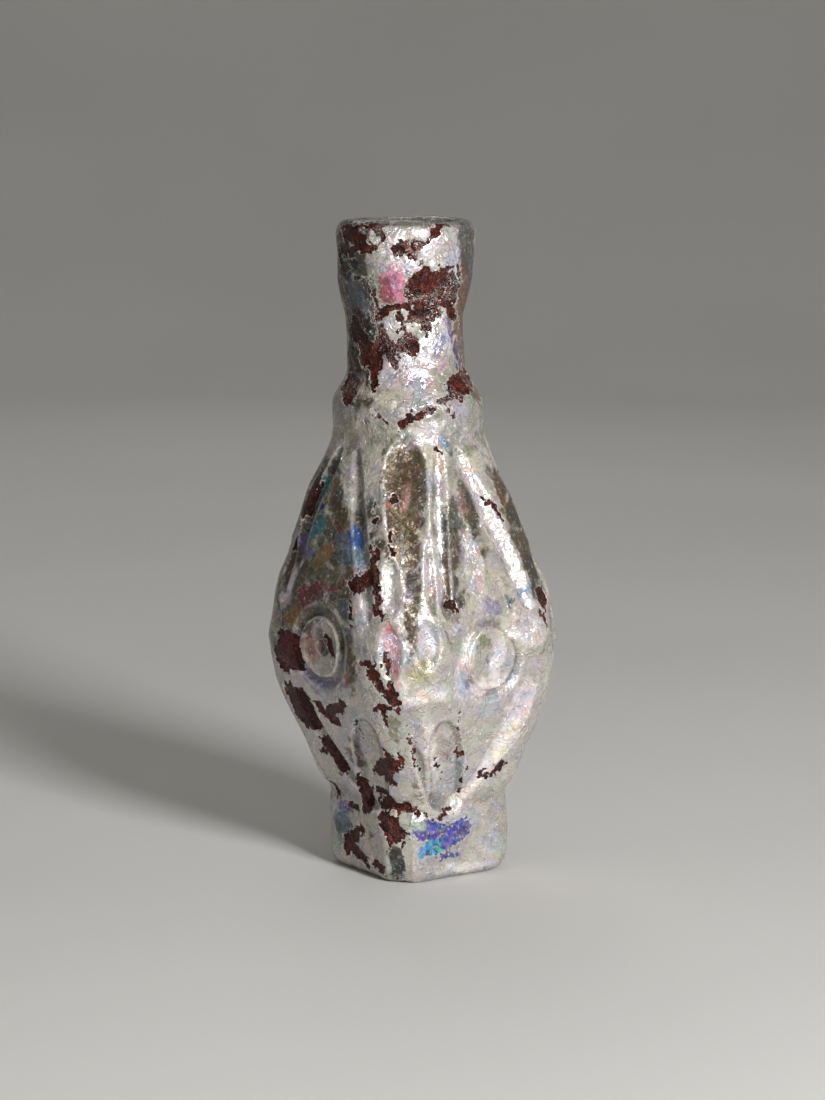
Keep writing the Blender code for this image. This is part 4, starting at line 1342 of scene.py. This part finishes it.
def weathered_glass(settings):
    """Milky crust, mirror-bright and rainbow films, and the red-brown layer, with painted
    highlights and shade.
    """
    material, nodes = empty_material("weathered_glass")
    marks = surface_marks(nodes)
    where, bare, thin = marks["where"], marks["bare"], marks["thin"]

    # The bright film's near-white colour goes into the base colour: partly a real silvery film,
    # partly painted highlights
    wisps = nodes.between(nodes.mottle(where, WISP_CLOUD), *BRIGHT_BY_CLOUD)
    bright = nodes.times(nodes.minus(marks["mirror"], marks["lip"]), wisps)
    crust = crust_colour(nodes, marks, settings)
    surface = nodes.blend(bright, crust, silver_colour(nodes, marks, settings))
    surface = nodes.blend(RAINBOW_SHARE, surface, rainbow(nodes, where), "MULTIPLY")
    # Paler rim round flaked patches: partly fresh crust edge, partly painted highlight
    surface = nodes.blend(marks["torn"], surface, tone(settings.torn_edge))
    grains = nodes.cells(where, GLITTER_CELL)
    glitter = nodes.step(nodes.chances(grains)[0], *GLITTER_FADE)
    # Less glitter where the thin mark lies, partly painted shade
    glitter = nodes.times(glitter, nodes.between(thin, *GLITTER_BY_THIN))
    surface = nodes.blend(nodes.times(glitter, GLITTER_SHARE), surface, tone(settings.silver))
    glint = nodes.highest(worm_tracks(nodes, marks), nodes.times(glitter, GLITTER_ON_BARE))
    surface = nodes.blend(bare, surface, bared_colour(nodes, marks, glint, settings))

    metallic = metal_shine(nodes, marks, bright, glitter)
    metallic = nodes.between(bare, metallic, nodes.times(glint, GLINT_METAL))
    rough = nodes.between(nodes.mottle(where, GLOSS_CLOUD), *ROUGH_BY_CLOUD)
    rough = nodes.times(rough, nodes.between(marks["low"], *ROUGH_BY_LOW))
    rough = nodes.between(nodes.highest(bright, bare), rough, SMOOTH)
    relief = crust_relief(nodes, marks, grains)
    sockets = {"Height": relief, "Strength": 1.0, "Distance": 0.00022}
    normal = nodes.add("ShaderNodeBump", sockets).outputs["Normal"]

    sockets = {
        "Base Color": surface,
        "Metallic": metallic,
        "Roughness": rough,
        "Normal": normal,
        "Subsurface Weight": 0.12,
        "Subsurface Radius": (1.0, 0.9, 0.8),
        "Subsurface Scale": 0.0012,
        "Specular IOR Level": 0.25,
        "Coat Weight": nodes.between(nodes.highest(bare, thin), *COAT_BY_BARE),
        "Coat Roughness": 0.07,
    }
    return finished(material, nodes, sockets)


def pale_paper(settings):
    """Matt pale paper with a faint cloud in it."""
    material, nodes = empty_material("pale_paper")
    where = nodes.add("ShaderNodeTexCoord", {}).outputs["Object"]
    darker = tone(PAPER_CLOUD_SHADE * Vector(settings.floor_colour))
    cloud = nodes.mottle(where, PAPER_CLOUD)
    paper = nodes.blend(cloud, tone(settings.floor_colour), darker)
    sockets = {"Base Color": paper, "Roughness": 0.85, "Specular IOR Level": 0.0}
    return finished(material, nodes, sockets)


def finished(material, nodes, sockets):
    """The material, with its shader's sockets set and its output linked."""
    shader = nodes.add("ShaderNodeBsdfPrincipled", sockets).outputs[0]
    nodes.add("ShaderNodeOutputMaterial", {"Surface": shader})
    return material


# Operators


class BOTTLE_OT_glass(bpy.types.Operator):
    """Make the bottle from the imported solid"""

    bl_idname = "bottle.make_glass"
    bl_label = "Make Bottle"
    bl_options = {"REGISTER", "UNDO"}

    def execute(self, context):
        scene = context.scene
        form = GroundForm(scene.bottle_form)
        settings = scene.bottle_crust
        piece = copy_of(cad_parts["glass_bottle"], "bottle_glass")
        fine_mesh(piece, settings.mesh_step)
        inside = ~on_outside(form, vertices_of(piece))
        thin_out_inside(piece, inside, settings.inside_keep)
        grind(piece, form)
        weather(piece, form)
        piece.data.materials.append(weathered_glass(settings))
        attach(piece, "root")
        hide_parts("glass_bottle")
        return {"FINISHED"}


# Stage

# How near the camera still sees things
CAMERA_NEAR = 0.01

# Stage profile from the middle outwards: (radius, height)
STAGE_SIDES = 96
STAGE_PROFILE = (
    (0.62, 0.0), (0.68, 0.004), (0.75, 0.017), (0.83, 0.045), (0.91, 0.092), (0.98, 0.16),
    (1.04, 0.25), (1.08, 0.36), (1.10, 0.50), (1.10, 0.72),
)

# Softboxes: (name, angle, rise, distance, size, watts)
SOFTBOXES = (
    ("key_light", -8.0, 22.0, 0.55, 0.12, 3.2),
    ("low_light", -34.0, 5.0, 0.50, 0.12, 0.25),
    ("back_light", 150.0, 45.0, 0.70, 0.30, 0.5),
)


def looking_at(back):
    """The turn that points a light or a camera along the opposite of back."""
    return (-back).to_track_quat("-Z", "Y")


def direction(angle, rise):
    """From the bottle towards a viewing direction: angle 0 is the front, along -Y."""
    across = math.cos(rise)
    return Vector((math.sin(angle) * across, -math.cos(angle) * across, math.sin(rise)))


def add_stage_floor(settings):
    """A round sheet of paper whose edge curves up all round."""
    bpy.ops.object.select_all(action="DESELECT")
    bpy.ops.mesh.primitive_circle_add(
        vertices=STAGE_SIDES, radius=STAGE_PROFILE[0][0], fill_type="NGON"
    )
    floor = bpy.context.object
    floor.name = "paper_stage"
    bpy.ops.object.mode_set(mode="EDIT")
    bpy.ops.mesh.select_all(action="SELECT")
    bpy.ops.mesh.normals_make_consistent(inside=False)
    bpy.ops.mesh.select_all(action="SELECT")
    bpy.ops.mesh.region_to_loop()
    for (radius, height), (wider, higher) in zip(STAGE_PROFILE, STAGE_PROFILE[1:]):
        bpy.ops.mesh.extrude_region_move(
            TRANSFORM_OT_translate={"value": (0.0, 0.0, higher - height)}
        )
        grow = wider / radius
        bpy.ops.transform.resize(value=(grow, grow, 1.0), center_override=(0.0, 0.0, 0.0))
    bpy.ops.object.mode_set(mode="OBJECT")
    bpy.ops.object.shade_smooth()
    floor.data.materials.append(pale_paper(settings))
    floor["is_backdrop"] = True


def add_softbox(softbox, aim):
    """A square of soft light that points at the bottle."""
    name, angle, rise, distance, size, energy = softbox
    back = direction(math.radians(angle), math.radians(rise))
    bpy.ops.object.light_add(type="AREA", location=aim + back * distance)
    lamp = bpy.context.object
    lamp.name = name
    lamp.rotation_mode = "QUATERNION"
    lamp.rotation_quaternion = looking_at(back)
    lamp.visible_camera = False
    lamp.data.shape = "SQUARE"
    lamp.data.size = size
    lamp.data.energy = energy


def add_camera(settings, aim):
    """The camera, at the photo's viewing angle."""
    back = direction(settings.view_angle, settings.view_rise)
    bpy.ops.object.camera_add(location=aim + back * settings.view_distance)
    camera = bpy.context.object
    camera.name = "view_camera"
    camera.rotation_mode = "QUATERNION"
    camera.rotation_quaternion = looking_at(back)
    camera.data.lens = settings.lens
    camera.data.clip_start = CAMERA_NEAR
    bpy.context.scene.camera = camera


class BOTTLE_OT_stage(bpy.types.Operator):
    """Lay the paper stage and place the lights and the camera"""

    bl_idname = "bottle.make_stage"
    bl_label = "Make Stage"
    bl_options = {"REGISTER", "UNDO"}

    def execute(self, context):
        settings = context.scene.bottle_stage
        add_stage_floor(settings)
        aim = Vector((0.0, 0.0, settings.view_height))
        for softbox in SOFTBOXES:
            add_softbox(softbox, aim)
        world = bpy.data.worlds.new("studio_light")
        world.use_nodes = True
        sky = world.node_tree.nodes["Background"]
        sky.inputs["Color"].default_value = (1.0, 1.0, 1.0, 1.0)
        sky.inputs["Strength"].default_value = settings.world_strength
        context.scene.world = world
        context.scene.view_settings.view_transform = "Standard"
        add_camera(settings, aim)
        return {"FINISHED"}


class BOTTLE_PT_sidebar(bpy.types.Panel):
    """The bottle's settings and the buttons that make it"""

    bl_label = "Weathered Bottle"
    bl_space_type = "VIEW_3D"
    bl_region_type = "UI"
    bl_category = "Bottle"

    def draw(self, context):
        layout = self.layout
        for operator in (BOTTLE_OT_glass, BOTTLE_OT_stage):
            layout.operator(operator.bl_idname)
        for settings in (getattr(context.scene, name) for name in SETTINGS):
            box = layout.box()
            for name in type(settings).__annotations__:
                box.prop(settings, name)


SETTINGS = {
    "bottle_form": BottleForm,
    "bottle_crust": CrustSettings,
    "bottle_stage": StageSettings,
}
CLASSES = (*SETTINGS.values(), BOTTLE_OT_glass, BOTTLE_OT_stage, BOTTLE_PT_sidebar)


def register():
    for cls in CLASSES:
        bpy.utils.register_class(cls)
    for name, cls in SETTINGS.items():
        setattr(bpy.types.Scene, name, PointerProperty(type=cls))


def unregister():
    for name in SETTINGS:
        delattr(bpy.types.Scene, name)
    for cls in reversed(CLASSES):
        bpy.utils.unregister_class(cls)


def main():
    """Make every piece and the stage."""
    register()
    bpy.ops.bottle.make_glass()
    bpy.ops.bottle.make_stage()
    bpy.context.view_layer.update()
    boxes = {"cad": CAD_BOX, "visual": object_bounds()}
    {name: [list(end) for end in box] for name, box in boxes.items()}


if __name__ == "__main__":
    main()
